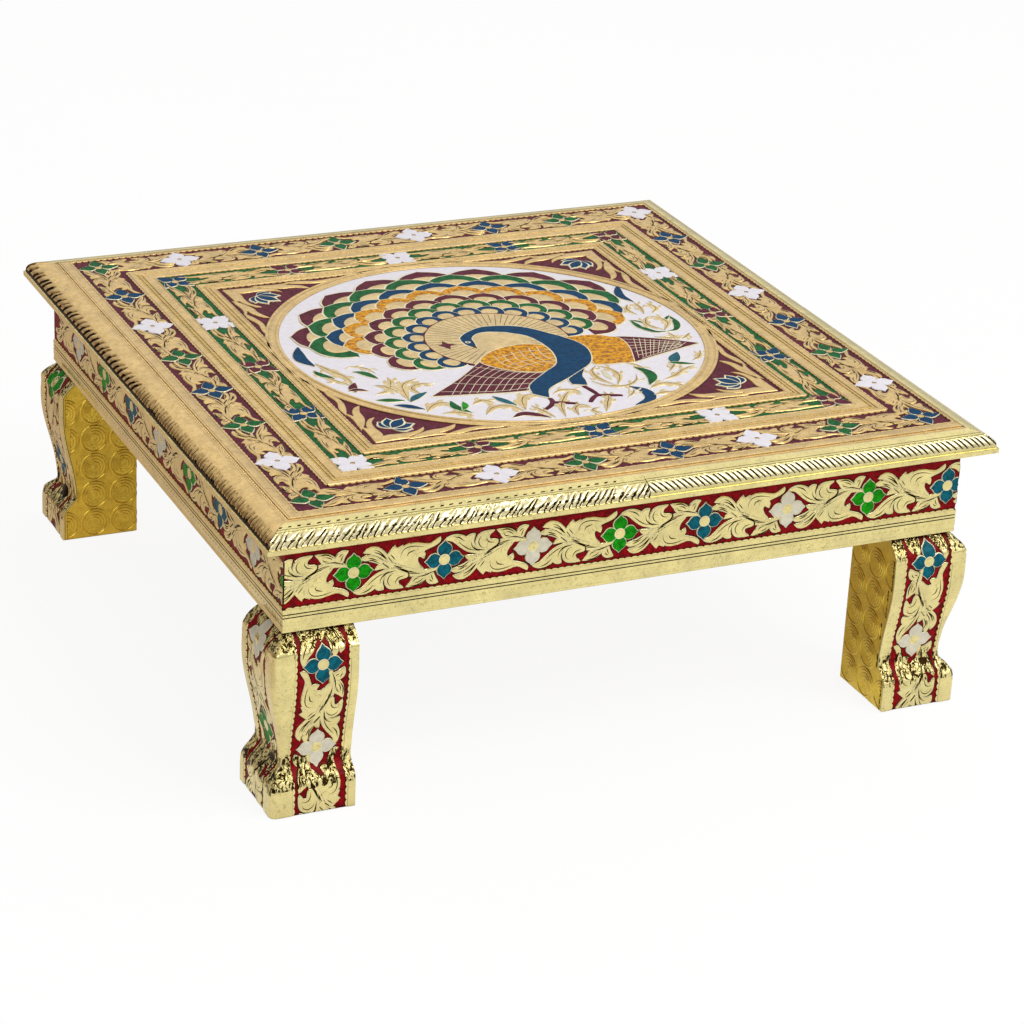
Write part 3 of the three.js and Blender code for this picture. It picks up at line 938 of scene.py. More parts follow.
def without_slivers(patch):
    """The patch with coinciding points merged and faces without area dropped."""
    key = np.round(patch.points, 5)
    points, index = np.unique(key, axis=0, return_inverse=True)
    faces = index.reshape(-1)[patch.faces]
    a, b, c = (points[faces[:, column]] for column in range(3))
    area = np.linalg.norm(np.cross(b - a, c - a), axis=1)
    kept = area > 1e-9
    return Patch(points, faces[kept], patch.finish[kept])


def round_grid(rows, sides, stretch=1.0):
    """Points round rings, each with its radius and height. A radius may vary round its ring."""
    angle = np.arange(sides) * 2 * math.pi / sides
    grid = np.zeros((sides, len(rows), 3))
    for row, (radius, height) in enumerate(rows):
        grid[:, row, 0] = np.cos(angle) * radius * stretch
        grid[:, row, 1] = np.sin(angle) * radius
        grid[:, row, 2] = height
    return grid


def bead(radius, height, stretch=1.0, finish=TOP_GOLD):
    """A low bead. It may be longer than it is wide."""
    rows = [(radius, -0.3), (radius, 0.0), (radius * 0.72, height * 0.7), (0.0, height)]
    grid = round_grid(rows, BEAD_SIDES, stretch)
    return facing_out(without_slivers(loft(grid, finish, closed_columns=True)))


def row_of(unit, count, start, step):
    """Copies of a patch in a row."""
    return [moved(unit, start[0] + step[0] * index, start[1] + step[1] * index) for index in range(count)]


def scallops(length, width, swing, finish):
    """A border along X from zero, straight below and scalloped above."""
    count = max(2, round(length / (sizes().scallop_pitch / MM)))
    u = np.linspace(0, length, count * 8 + 1)
    wave = np.abs(np.sin(math.pi * u / (length / count)))
    top = width - swing + swing * np.sqrt(wave)
    shares = (0, 0, 0.15, 0.5, 0.85, 1, 1)
    heights = (-SUNK, 0.4, 0.5, 0.5, 0.45, 0.12, -SUNK)
    across = top[:, None] * shares
    grid = np.stack([*np.broadcast_arrays(u[:, None], across, heights)], -1)
    fan = np.array([(0, index, index + 1) for index in range(1, len(shares) - 1)])
    tint = np.full(len(fan), finish)
    ends = [Patch(grid[0], fan[:, ::-1], tint), Patch(grid[-1], fan, tint)]
    return facing_out(without_slivers(joined([loft(grid, finish, closed_rows=True), *ends])))


# The top: where its bands lie, in millimetres

PATTERN_X = 4.2
PATTERN_Y = 3.6
ENAMEL_Z = TOP_Z - 0.5
OUTER_BAND = (172.6, 148.0)
INNER_BAND = (137.0, 118.9)
FIELD_HALF = 111.6
RING_OUTER = 116.6
RING_INNER = 109.6
RING_SIDES = 240
TICKS = 330
LOTUS_PLACE = -FIELD_HALF + 17
OUTER_PITCH = 45.8
INNER_PITCH = 64.0
OUTER_ROW = sum(OUTER_BAND) / 2
INNER_ROW = sum(INNER_BAND) / 2

# What lies inside each edge of the bands, going inwards

GROUNDS = (MAROON, TOP_GOLD, GREEN, TOP_GOLD, MAROON)

# Flower colours of each side, along it as seen from outside

OUTER_FLOWERS = (
    (GREEN, BLUE, WHITE, GREEN, BLUE, WHITE, GREEN),
    (BLUE, WHITE, GREEN, BLUE, WHITE, GREEN, BLUE),
    (WHITE, GREEN, BLUE, WHITE, GREEN, BLUE, WHITE),
    (GREEN, BLUE, WHITE, GREEN, BLUE, GREEN, WHITE),
)
INNER_FLOWERS = (
    (WHITE, MAROON, BLUE, WHITE),
    (MAROON, BLUE, MAROON, WHITE),
    (MAROON, BLUE, WHITE, MAROON),
    (BLUE, WHITE, MAROON, BLUE),
)


def on_top(patch, side, x=0.0, y=0.0, turn=0.0, stretch=(1.0, 1.0)):
    """The patch laid on the top, in the frame of a side of the pattern."""
    laid = quarter_turned(moved(patch, x, y, turn, stretch), side)
    return moved(laid, PATTERN_X, PATTERN_Y, lift=ENAMEL_Z)


def top_plate():
    """The pressed sheet under the ornament: its enamel grounds, one inside another."""
    grounds = [(ring_of_corners(FLAT_HALF), TOP_GOLD)]
    for half, ground in zip((*OUTER_BAND, *INNER_BAND, FIELD_HALF), GROUNDS):
        grounds.append((ring_of_corners(half, PATTERN_X, PATTERN_Y), ground))
    grounds.append((disc(RING_INNER + 1, PATTERN_X, PATTERN_Y, 180), WHITE))
    forms = [Form(loop, ground, "flat", 0, 1) for loop, ground in grounds]
    plate = relief(forms, pitch=12, rim=3, sink=0.5)
    make_piece("top_plate", [moved(plate, lift=ENAMEL_Z)], ["top_sheet"])


# Frames between the bands: their outer and inner half size, and how far in their channels run, with
# the width of a channel and the pitch and stretch of the beads in it

CHANNELLED_FRAMES = (
    (OUTER_BAND[1], INNER_BAND[0], (3.6, 5.6), 1.3, 3.3, 1.5),
    (INNER_BAND[1], FIELD_HALF, (2.6, 4.6), 1.2, 3.0, 1.4),
)
CHANNEL_DEPTH = 0.32
BEAD_FLOOR = 0.2

# Scalloped borders: half size, width, how deep the scallops are, and whether they point inwards

BORDERS = (
    (OUTER_BAND[0], 1.3, 0.6, 1),
    (OUTER_BAND[1], 1.4, 0.6, -1),
    (INNER_BAND[0], 1.0, 0.45, 1),
    (INNER_BAND[1], 1.0, 0.45, -1),
    (FIELD_HALF, 1.0, 0.5, 1),
)

# The margin round the pattern: share of the way inwards, and height

MARGIN_SECTION = (
    ((0, -0.5), (0, 0.5), (0.1, 0.5), (0.12, 0.36), (0.14, 0.36), (0.16, 0.5), (0.2, 0.5), (0.21, 0.18))
    + ((0.37, 0.18), (0.38, 0.5), (0.47, 0.5), (0.48, 0.36), (0.5, 0.36), (0.51, 0.5), (0.97, 0.5))
    + ((1, 0.3), (1, -0.5))
)


def channelled(outer, inner, places, width):
    """The section of a frame with channels at the places, counted from its outer edge."""
    section = [(outer, 0.25, TOP_GOLD), (outer - 0.25, 0.5, TOP_GOLD)]
    for place in places:
        near_side, far_side = outer - place + width / 2, outer - place - width / 2
        low = 0.5 - CHANNEL_DEPTH
        section += [(near_side, 0.5, TOP_GOLD), (near_side - 0.15, low, COIN_GOLD)]
        section += [(far_side + 0.15, low, TOP_GOLD), (far_side, 0.5, TOP_GOLD)]
    return section + [(inner + 0.25, 0.5, TOP_GOLD), (inner, 0.25, TOP_GOLD)]


def top_margin():
    """The plain margin between the table's edge and the pattern, which sits off centre."""
    outer = ring_of_corners(FLAT_HALF)
    inner = ring_of_corners(OUTER_BAND[0], PATTERN_X, PATTERN_Y)
    squares = [outer + (inner - outer) * share for share, _ in MARGIN_SECTION]
    return mitred(squares, [ENAMEL_Z + height for _, height in MARGIN_SECTION], TOP_GOLD)


def top_frames():
    """The gold frames of the top, with their channels and scalloped edges."""
    patches = [top_margin()]
    for outer, inner, places, width, _, _ in CHANNELLED_FRAMES:
        frame_patch = square_frame(channelled(outer, inner, places, width))
        patches.append(moved(frame_patch, PATTERN_X, PATTERN_Y, lift=ENAMEL_Z))
    for half, width, swing, way in BORDERS:
        laid = moved(scallops(half * 2, width, swing, TOP_GOLD), -half, 0, stretch=(1, way))
        patches += [on_top(laid, side, 0, -half) for side in range(4)]
    make_piece("top_frames", patches)


def top_beads():
    """Rows of beads in the channels of the frames, and larger ones in the margin."""
    patches = []
    for outer, _, places, _, pitch, stretch in CHANNELLED_FRAMES:
        for half in (outer - place for place in places):
            count = round(half * 2 / pitch)
            row = joined(row_of(bead(0.62, 0.28, stretch), count, (-half, -half), (half * 2 / count, 0)))
            patches += [moved(on_top(row, side), lift=BEAD_FLOOR) for side in range(4)]
    row = row_of(bead(0.74, 0.28), 159, (-FLAT_HALF + 2.8, -FLAT_HALF + 6), (0, 2.2))
    patches.append(moved(joined(row), lift=ENAMEL_Z + BEAD_FLOOR))
    make_piece("top_beads", patches)


def top_scrolls():
    """Gold leaves and enamel flowers of the two bands, one piece for each side."""
    outer = (OUTER_ROW, OUTER_PITCH, 10.2, 0.4, OUTER_FLOWERS, 11.2, 0)
    inner = (INNER_ROW, INNER_PITCH, 6.9, 0.3, INNER_FLOWERS, 11.4, math.pi / 4)
    for side, name in enumerate(SIDES):
        patches = []
        for row, pitch, reach, fullness, flowers, petals, slant in (outer, inner):
            leaves = scroll(pitch, reach, TOP_GOLD, fullness, crest())
            for index, colour in enumerate(flowers[side]):
                x = -row + pitch * index
                patches.append(on_top(leaves, side, x, -row, stretch=(1, (-1) ** index)))
                patches.append(on_top(flower(colour, petals, slant, TOP_GOLD, True), side, x, -row))
        make_piece(f"top_scroll_{name}", patches)


CORNER_LEAVES = (
    (
        [(6, 8), (12, 10.5), (20, 10), (27, 11), (33, 15)],
        [(31, 10.5), (26, 7.2), (21, 5.8)],
        [(24, 4.2), (26, 2.2)],
        [(20, 3.6), (14, 3.6), (3, 3)],
    ),
    (
        [(25, 6.4), (33, 9.6), (41, 10.4), (49, 13.4)],
        [(46.5, 9), (42, 6.4), (37, 5.2)],
        [(40, 3.8), (42, 2)],
        [(34, 3.2), (27, 2.8), (19, 2.2)],
    ),
    (
        [(45, 5), (54, 7), (62, 6.4), (74, 3)],
        [(66, 2.6), (56, 3.8), (47, 1.6), (38, 2)],
    ),
)


def lotus(colour, reach):
    """A bud of five pointed petals that opens along X."""
    forms = []
    for angle, share in ((1.15, 0.72), (-1.15, 0.72), (0.6, 0.92), (-0.6, 0.92), (0, 1)):
        outer = turned(petal(reach * share, reach * 0.24, 0), angle)
        forms.append(raised(grow(outer, 0.25), WIRE_AND_EDGE_HIGHLIGHT, 0.42, 0.3))
        inner = turned(petal(reach * share * 0.92, reach * 0.19, 0.5), angle)
        forms.append(filled(inner, colour, 0.36, 1.0))
    return relief(forms, pitch=1.0)


def corner_ornament():
    """Leaves and a lotus in each corner of the field, outside the ring."""
    outlines = [loop_of(*leaf) for leaf in CORNER_LEAVES]
    pairs = [raised(side, TOP_GOLD, 0.5) for outline in outlines for side in (outline, outline[:, ::-1])]
    leaves = moved(relief(pairs), -FIELD_HALF, -FIELD_HALF)
    bud = lotus(BLUE, 14.5)
    patches = []
    for side in range(4):
        patches.append(on_top(leaves, side))
        patches.append(on_top(bud, side, LOTUS_PLACE, LOTUS_PLACE, math.pi / 4))
    make_piece("top_corner_leaves", patches)


def medallion_ring():
    """The gold ring round the bird, with its channels and ticks."""
    outer = [(0, -SUNK), (0, 0.25), (-0.3, 0.5), (-1.4, 0.5), (-1.7, 0.25), (-2.2, 0.25), (-2.5, 0.45)]
    inner = [(2.6, 0.45), (2.3, 0.25), (1.8, 0.25), (1.5, 0.5), (0.3, 0.5), (0, 0.25), (0, -SUNK)]
    section = [(RING_OUTER + out, height) for out, height in outer]
    section += [(RING_INNER + out, height) for out, height in inner]
    grid = round_grid(section, RING_SIDES)
    patches = [facing_out(loft(grid, TOP_GOLD, closed_rows=True, closed_columns=True))]
    tick = bead(0.36, 0.3, 2.6)
    middle = (RING_OUTER + RING_INNER) / 2
    for index in range(TICKS):
        angle = index * 2 * math.pi / TICKS
        patches.append(moved(tick, middle * math.cos(angle), middle * math.sin(angle), angle, lift=0.2))
    patches = [moved(part, PATTERN_X, PATTERN_Y, lift=ENAMEL_Z) for part in patches]
    make_piece("medallion_ring", patches)


# The bird in the medallion, in millimetres from the middle of its fan of feathers

FAN_X = 6.3
FAN_Y = 1.3
FEATHER_STEP = 17.5

FEATHER_ROWS = (
    (MAROON, 107, 38, 8, 26),
    (GREEN, 99, 29, 9, 24),
    (BLUE, 89, 20.5, 9, 22),
    (AMBER, 81, 11.5, 10, 21),
    (MAROON, 69.5, 2.5, 12, 18),
    (GREEN, 60, 11, 12, 16),
    (BLUE, 50, 2, 13, 14),
)


def feather(reach, angle, length, colour):
    """Forms of one feather: its wire, its band of colour and its gold eye."""
    half = reach * math.sin(math.radians(FEATHER_STEP / 2)) * 1.04
    wire = feather_edge(length, half, length, (length * 0.8, half * 0.7))
    band = feather_edge(length, half - 0.5, length - 0.7, (length * 0.78, half * 0.62))
    width = half * 0.56
    side = [(length * 0.6, width * 0.7), (length * 0.42, width), (length * 0.1, width * 0.6)]
    eye = smooth_loop([(length * 0.66, 0), *[(x, -y) for x, y in side], *reversed(side)], 0.9)
    layers = ((wire, WIRE_AND_EDGE_HIGHLIGHT, 0.42), (band, colour, 0.32), (eye, SCALE_GOLD, 0.46))
    placed = [(turned(loop + (reach - length, 0), angle), *look) for loop, *look in layers]
    return [filled(*form, 1.0) for form in placed]


def feather_edge(length, half, tip, shoulder):
    """Outline of a feather along X, with a round tip."""
    side = [(length * 0.45, half), (0, half)]
    lower = [(x, -y) for x, y in (side[0], shoulder)]
    return loop_of([*lower, (tip, 0)], [shoulder, *side], [(0, -half)], spacing=1.0)


def feather_fan():
    """Rows of feathers, the outermost lowest, round the gold disc."""
    forms = []
    for colour, reach, start, count, length in FEATHER_ROWS:
        for index in range(count):
            angle = math.radians(start + FEATHER_STEP * index)
            forms += feather(reach, angle, length, colour)
    fan = relief(forms, pitch=1.7, rim=0.3)
    make_piece("feather_fan", [moved(fan, FAN_X, FAN_Y, lift=ENAMEL_Z)])


def crossed(first, second, count, width, bend=0.0):
    """Strokes that run from points along one line to points along another."""
    one, two = arc(first, 1.0), arc(second, 1.0)
    strokes = []
    for index in range(count):
        share = (index + 0.5) / count
        start = one[round(share * (len(one) - 1))]
        end = two[round(share * (len(two) - 1))]
        across = np.array([end[1] - start[1], start[0] - end[0]]) * bend
        strokes.append(stroke([start, (start + end) / 2 + across, end], width, 1, 1, spacing=1.6))
    return strokes


# Outlines of the bird's parts, as runs of points that end at corners

TAIL = (
    [(67.1, -16), (84, -25), (98.8, -35.5)],
    [(80, -41), (65, -46), (53.2, -50)],
    [(55, -30), (57, -13)],
)
WING = (
    [(-41.8, -44.6), (-21.5, -25.6)],
    [(-8, -31), (10, -42), (19, -50)],
    [(2, -58), (-6, -68.5)],
    [(-22, -68), (-40, -65), (-63, -61)],
)
FLANK = (
    [(39.3, -7), (50.7, -8), (58, -13)],
    [(62, -17), (61, -30), (54.5, -49.4)],
    [(44, -48.5), (33, -46.5)],
    [(36, -27), (34, -7)],
)
BODY = (
    (-20.5, -24.1), (-8.9, -13.5), (3.8, -9.6), (14.5, -10.8), (24.1, -19.5), (26, -33), (18, -44),
    (6.3, -48.1), (-7.9, -43.4), (-18.3, -33.1),
)
NECK = (
    [(-19, 2.5), (-17.7, 8.4), (-10.1, 15.2), (1.3, 19.5), (19, 13.9), (32.9, -3.8)],
    [(38.6, -16), (38.8, -28.6), (31.7, -44.3), (13.9, -58.3), (2, -66), (-3.5, -71), (-7.6, -80.8)],
    [(-13.9, -73.2)],
    [(-10.1, -61.8), (3.8, -48.9), (15.2, -38.7), (20, -21), (17.2, -1.3), (8, 8.5)],
    [(-1, 11.6), (-7.6, 10.4), (-12, 5.5), (-12.9, 0.5), (-14.4, -5.1), (-17.2, -5.5), (-19, -1.5)],
)
BEAK = ([(-16.5, -4.5), (-14.2, -4)], [(-15.2, -8.4)], [(-18.6, -2)])
THIGH = (
    [(27, -48.5)],
    [(21, -58), (19.8, -64), (17.8, -71)],
    [(10.5, -67.5)],
    [(11.5, -61), (15.5, -57)],
)
PENDANT = (
    [(-30.5, 2.2), (-28.4, 6.6)],
    [(-26.5, 2.3), (-22.4, 0.4)],
    [(-26.6, -0.9), (-28.6, -5.4)],
    [(-30.8, -1.2), (-33.5, 3.5)],
)
TOES = (
    [(-7.5, -80), (-7.8, -84), (-10.5, -88.5), (-16.5, -93.5)],
    [(-8.4, -85.5), (-3.5, -87.5), (3.2, -91)],
    [(15.4, -70.4), (16.8, -77), (17.6, -83.5)],
    [(17.6, -82.8), (13.5, -86), (9.5, -91)],
    [(16.8, -83.6), (22.5, -85.6), (29, -87.8)],
)
EYE = (-16.2, 1.4)
RAYS = 64


def wired(loop, finish, wire, height, swell, reach=0.35, edge=0.6, inset=0.3):
    """A field of enamel with a fine wire round it."""
    return [filled(grow(loop, reach), WIRE_AND_EDGE_HIGHLIGHT, wire, edge), filled(grow(loop, -inset), finish, height, swell)]


def netted(height, *crossings):
    """Fine wires over a field, each set as the function that crosses lines takes it."""
    return [filled(line, WIRE_AND_EDGE_HIGHLIGHT, height, 0.4) for crossing in crossings for line in crossed(*crossing)]


def bird():
    """The peacock: wings, body, neck and feet over the gold disc."""
    forms = [filled(disc(39, sides=96), MAROON, 0.47, 1.0)]
    forms.append(filled(disc(37.6, sides=96), SCALE_GOLD, 0.44, 1.0))
    for index in range(RAYS):
        angle = index * 2 * math.pi / RAYS + 0.02
        ray = np.outer((24 if index % 2 else 17, 36.8), (math.cos(angle), math.sin(angle)))
        forms.append(engraved(stroke(ray, 0.34, 1, 1, spacing=2.4), DARK_MARK_AND_SHADE, 0.12))
    forms += wired(loop_of(*TAIL), MAROON, 0.4, 0.34, 1.0)
    forms += netted(
        0.43,
        ([(62, -16), (60, -48)], [(90, -31), (88, -37)], 7, 0.42),
        ([(68, -18), (93, -33)], [(58, -45), (84, -38.5)], 11, 0.34),
    )
    forms += wired(loop_of(*WING), MAROON, 0.4, 0.34, 1.0)
    forms += netted(
        0.43,
        ([(-60, -60.5), (-22, -27.5)], [(-10, -67.5), (15, -50)], 4, 0.42, 0.06),
        ([(-54, -61.5), (-8, -67.5)], [(-24, -30), (14, -49)], 11, 0.36, -0.06),
    )
    forms += wired(loop_of(*FLANK), AMBER, 0.4, 0.36, 2.0, 0.3)
    forms += wired(smooth_loop(BODY), AMBER, 0.42, 0.38, 3.0, 0.3)
    forms += netted(
        0.44,
        ([(-14, -21), (18, -14)], [(-8, -42), (20, -40)], 6, 0.4, 0.12),
        ([(-14, -22), (-7, -42)], [(22, -18), (22, -40)], 4, 0.34, -0.1),
    )
    forms += wired(loop_of(*NECK), BLUE, 0.46, 0.44, 4.0)
    forms.append(filled(loop_of(*BEAK), DARK_MARK_AND_SHADE, 0.42, 1.0))
    forms.append(filled(disc(1.5, *EYE, 14), WIRE_AND_EDGE_HIGHLIGHT, 0.48, 0.5))
    forms.append(filled(disc(0.8, *EYE, 12), DARK_MARK_AND_SHADE, 0.48, 0.5))
    forms += wired(loop_of(*THIGH), BLUE, 0.42, 0.38, 2.0, 0.3, 0.5, 0.25)
    forms.append(filled(loop_of(*PENDANT), MAROON, 0.48, 0.8))
    shown = relief(forms, pitch=1.5, rim=0.2)
    feet = relief([raised(stroke(toe, 2.8, 0.9, 0.7, spacing=0.8), MAROON, 0.45, 0.9) for toe in TOES])
    make_piece("peacock", [moved(part, FAN_X, FAN_Y, lift=ENAMEL_Z) for part in (shown, feet)])


# Scroll round the bird: the finish and width of each stroke, and the x and y of its points

MEDALLION_STROKES = (
    (BLUE, 7.5, -103, -6, -106, 4, -104.5, 13, -101.8, 21),
    (SCALE_GOLD, 5.2, -101.5, -2, -98, -14, -94, -24, -93.5, -36),
    (SCALE_GOLD, 3.6, -94, -36, -100, -28, -103.5, -19, -105, -10),
    (GREEN, 4.4, -106, -12, -104, -18, -99.5, -24.5),
    (SCALE_GOLD, 2.2, -90, -14, -86, -12, -80, -16, -77, -24),
    (GREEN, 4.8, -87.5, -18.5, -83, -22, -78.8, -31),
    (MAROON, 5, -96, -44.5, -95.5, -39, -92, -32.5),
    (MAROON, 3.4, -99, -42, -94, -41.5, -89.5, -44.5),
    (SCALE_GOLD, 5.2, -88, -50, -80, -47, -75, -38, -73.5, -30),
    (SCALE_GOLD, 5.6, -75, -62, -73, -50, -70, -42, -60, -36),
    (SCALE_GOLD, 4.4, -66, -58, -68, -48, -62, -44, -54, -45),
    (SCALE_GOLD, 4, -84, -38, -80, -42, -76, -50),
    (GREEN, 4.6, -90.5, -57, -84, -59, -77, -61.5),
    (TEAL, 4.8, -75, -64, -70, -59, -62.5, -54.5),
    (BLUE, 5, -84.5, -65.5, -79, -68.5, -72, -75),
    (SCALE_GOLD, 5.4, -72, -78, -67, -72, -62, -70, -56, -72),
    (SCALE_GOLD, 4.2, -66, -82, -58, -84, -52, -90),
    (GREEN, 5, -56, -69, -56.5, -77, -52, -86),
    (LEAF_GREEN, 3.6, -50.5, -71.5, -51.5, -77, -55, -82),
    (SCALE_GOLD, 4.4, -47, -76, -41, -73, -36, -78),
    (SCALE_GOLD, 5.2, -46, -90, -39, -83, -31, -84, -26, -92),
    (TEAL, 4.8, -33.8, -69.5, -31.5, -75, -27, -84),
    (SCALE_GOLD, 6, -25, -90, -22.5, -80, -18, -74, -11, -74),
    (MAROON, 5.2, -35, -97.5, -28, -94.8, -21, -99.5, -17.5, -103.5),
    (SCALE_GOLD, 3.4, -15, -104, -18, -94, -20.5, -86),
    (SCALE_GOLD, 4.2, -10, -104.5, -7, -93, -2, -84, 5, -76, 11, -77),
    (SCALE_GOLD, 3.2, -4, -76, 2, -72.5, 9, -74.5, 10, -80),
    (SCALE_GOLD, 3.8, -3, -104.5, -1.5, -97, 3, -93, 8, -96),
    (SCALE_GOLD, 4.4, 12, -104.5, 17, -95, 21, -88, 22, -80),
    (SCALE_GOLD, 2.6, 12, -98, 6, -101, 8, -106),
    (SCALE_GOLD, 3, 22, -66, 27, -74, 36, -77, 44, -72, 48, -64),
    (SCALE_GOLD, 3.8, 31, -74, 27, -64, 28, -54, 33.5, -47.5),
    (SCALE_GOLD, 3.8, 33, -74, 38.5, -64, 38, -54, 33.5, -47.5),
    (PALE, 3.4, 32.5, -68, 33, -61, 33.6, -54),
    (SCALE_GOLD, 2.6, 45, -46, 51, -50, 54.5, -57, 54, -64),
    (GREEN, 6.4, 51, -55.5, 54.5, -63, 53.5, -71, 48, -79.5),
    (BLUE, 6.8, 37, -78, 42, -86, 40, -96, 29.5, -101.5),
    (SCALE_GOLD, 2.2, 30, -91, 35, -87, 38, -82),
    (SCALE_GOLD, 5, 46, -84, 53, -80, 60, -82, 66, -89),
    (SCALE_GOLD, 4.2, 44, -92, 52, -91, 58, -95),
    (SCALE_GOLD, 3.8, 57, -76, 66, -72, 74, -66, 83, -62),
    (SCALE_GOLD, 2.6, 66, -66, 71, -60, 74, -56),
    (TEAL, 6.6, 73, -58, 75.5, -52, 81.5, -43.5),
    (GREEN, 3.4, 70.5, -55, 76, -57.5, 83, -61),
    (SCALE_GOLD, 3.2, 84, -56, 90, -52, 94.5, -44),
    (GREEN, 4, 78.5, 5.5, 79.5, -5, 84, -13.5, 90.5, -15),
    (GREEN, 4, 101.5, 5.5, 100.5, -5, 96, -13.5, 90, -15),
    (GREEN, 2, 78, 5.8, 82, 2.6, 84, -1.5),
    (GREEN, 2, 102, 5.8, 98.5, 2.6, 96, -1.5),
    (SCALE_GOLD, 3.8, 90, -12.5, 84.5, -4, 87, 4, 91.5, 8.5),
    (SCALE_GOLD, 3.8, 90, -12.5, 96, -4, 95, 4, 91.5, 8.5),
    (SCALE_GOLD, 3, 90, -16, 90, -21, 91.5, -27),
    (SCALE_GOLD, 2.6, 80, -20, 86, -23.5, 92, -27),
    (SCALE_GOLD, 2.6, 101, -20, 97, -24, 92.5, -27.5),
    (BLUE, 5.6, 92.6, 30, 90, 40, 93, 50, 96.4, 56),
    (SCALE_GOLD, 3, 90, 12, 92, 20, 92.5, 30),
    (SCALE_GOLD, 3.4, 86, 12, 84, 20, 88, 28),
    (SCALE_GOLD, 3.4, 95, 12, 100, 18, 98.5, 27),
)


def leaflets(points, width):
    """Small leaves that branch off a stroke on both sides, towards its tip."""
    line = arc(points, 1.0)
    _, normal = along(line)
    ahead = np.stack([normal[:, 1], -normal[:, 0]], 1)
    made = []
    for share, side in ((0.3, 1), (0.45, -1), (0.62, 1), (0.76, -1)):
        index = round(share * (len(line) - 1))
        root, forward, across = line[index], ahead[index], normal[index] * side
        bent = [root, root + forward * 2.4 + across * 2.6, root + forward * 5.2 + across * 3.2]
        made.append(stroke(bent, width, 0.3, 0.1, fullest=0.5))
    return made


def medallion_scroll():
    """Gold and coloured leaves round the bird on the white enamel."""
    forms = []
    for finish, width, *numbers in MEDALLION_STROKES:
        points = np.reshape(numbers, (-1, 2))
        outline = stroke(points, width * (0.95 if finish == SCALE_GOLD else 0.9), 0.1, 0.1, fullest=0.45)
        if finish != SCALE_GOLD:
            forms.append(raised(grow(outline, 0.35), WIRE_AND_EDGE_HIGHLIGHT, 0.3, 0.4))
            forms.append(filled(outline, finish, 0.34, 1.2))
            continue
        # The pale rims of the gold leaves are painted highlights.
        for leaf in leaflets(points, width * 0.55):
            forms.append(raised(leaf, finish, 0.36, 0.9, rim=WIRE_AND_EDGE_HIGHLIGHT))
        forms.append(raised(outline, finish, 0.42, 0.9, rim=WIRE_AND_EDGE_HIGHLIGHT))
        forms.append(engraved(stroke(points, 0.4, 0.3, 0.1, spacing=1.2), DARK_MARK_AND_SHADE, 0.3))
    leaves = relief(forms, pitch=1.3)
    make_piece("medallion_scroll", [moved(leaves, FAN_X, FAN_Y, lift=ENAMEL_Z)])


# The rope moulding round the edge

STEP_REACH = 189.0
STEP_HEIGHT = 141.8
CELLS_IN_RIB = 12
RIB_START = 0.51

# Where the quarter round is cut into rows, in sixteenths of its turn, and the rows with a mark: the
# front has a line of dashes and two fine lines above its ribs

ROPE_TURNS = (0, 1, 2, 2.8, 3.8, 4.7, 5.05, 6.3, 6.65, 7.5, 8.2, 9, 10, 11, 12, 13, 14, 15, 16)
DASHED_ROW = 3
LINED_ROWS = (5, 7)
DASH_PITCH = 4.6

# For the right and the left half of each side, as seen from outside: how far the ribs lean, how wide
# they are, the half width of the painted shade in their grooves (in cells), how deep the foil is
# crumpled, and where the ribs end, as a share of the quarter round

PLAIN_ROPE = (0.7, 1, 2, 0.0, 0.94)
ROPE_LINES = (
    (PLAIN_ROPE, (0.8, 1, 2, 0.6, 1.06)),
    (PLAIN_ROPE, PLAIN_ROPE),
    (PLAIN_ROPE, PLAIN_ROPE),
    ((0.1, 1, 2, 0.25, 1.0), (0.85, 1.9, 3, 0.4, 1.0)),
)


def edge_sections():
    """Outer and inner section of an edge strip, from the flat of the top down to its fold."""
    angle = np.array(ROPE_TURNS) / 16 * math.pi / 2
    reach = STEP_REACH - FLAT_HALF
    drop = TOP_Z - STEP_HEIGHT
    hem = TABLE_HALF - 2
    outer = np.column_stack([FLAT_HALF + reach * np.sin(angle), TOP_Z - drop * (1 - np.cos(angle))])
    inner = np.column_stack(
        [FLAT_HALF + (reach - 1) * np.sin(angle), TOP_Z - 1 - (drop - 1) * (1 - np.cos(angle))]
    )
    lip = [(189.05, 141.3), (189.15, 140.85), (189.9, 140.75), (TABLE_HALF, 140.55)]
    lip += [(TABLE_HALF, height) for height in (139.8, 139.2, LIP_BOTTOM + 0.3)]
    lip += [(TABLE_HALF - 0.3, LIP_BOTTOM), (APRON_HALF + GLUE, LIP_BOTTOM)]
    back = [(hem, height) for height in (141.3, 141.2, 141, 140.6, 140, 139.2, 138.6, LIP_BOTTOM + 0.4)]
    back += [(APRON_HALF + GLUE, LIP_BOTTOM + 0.4)]
    return np.vstack([outer, lip]), np.vstack([inner, back]), len(ROPE_TURNS) - 1


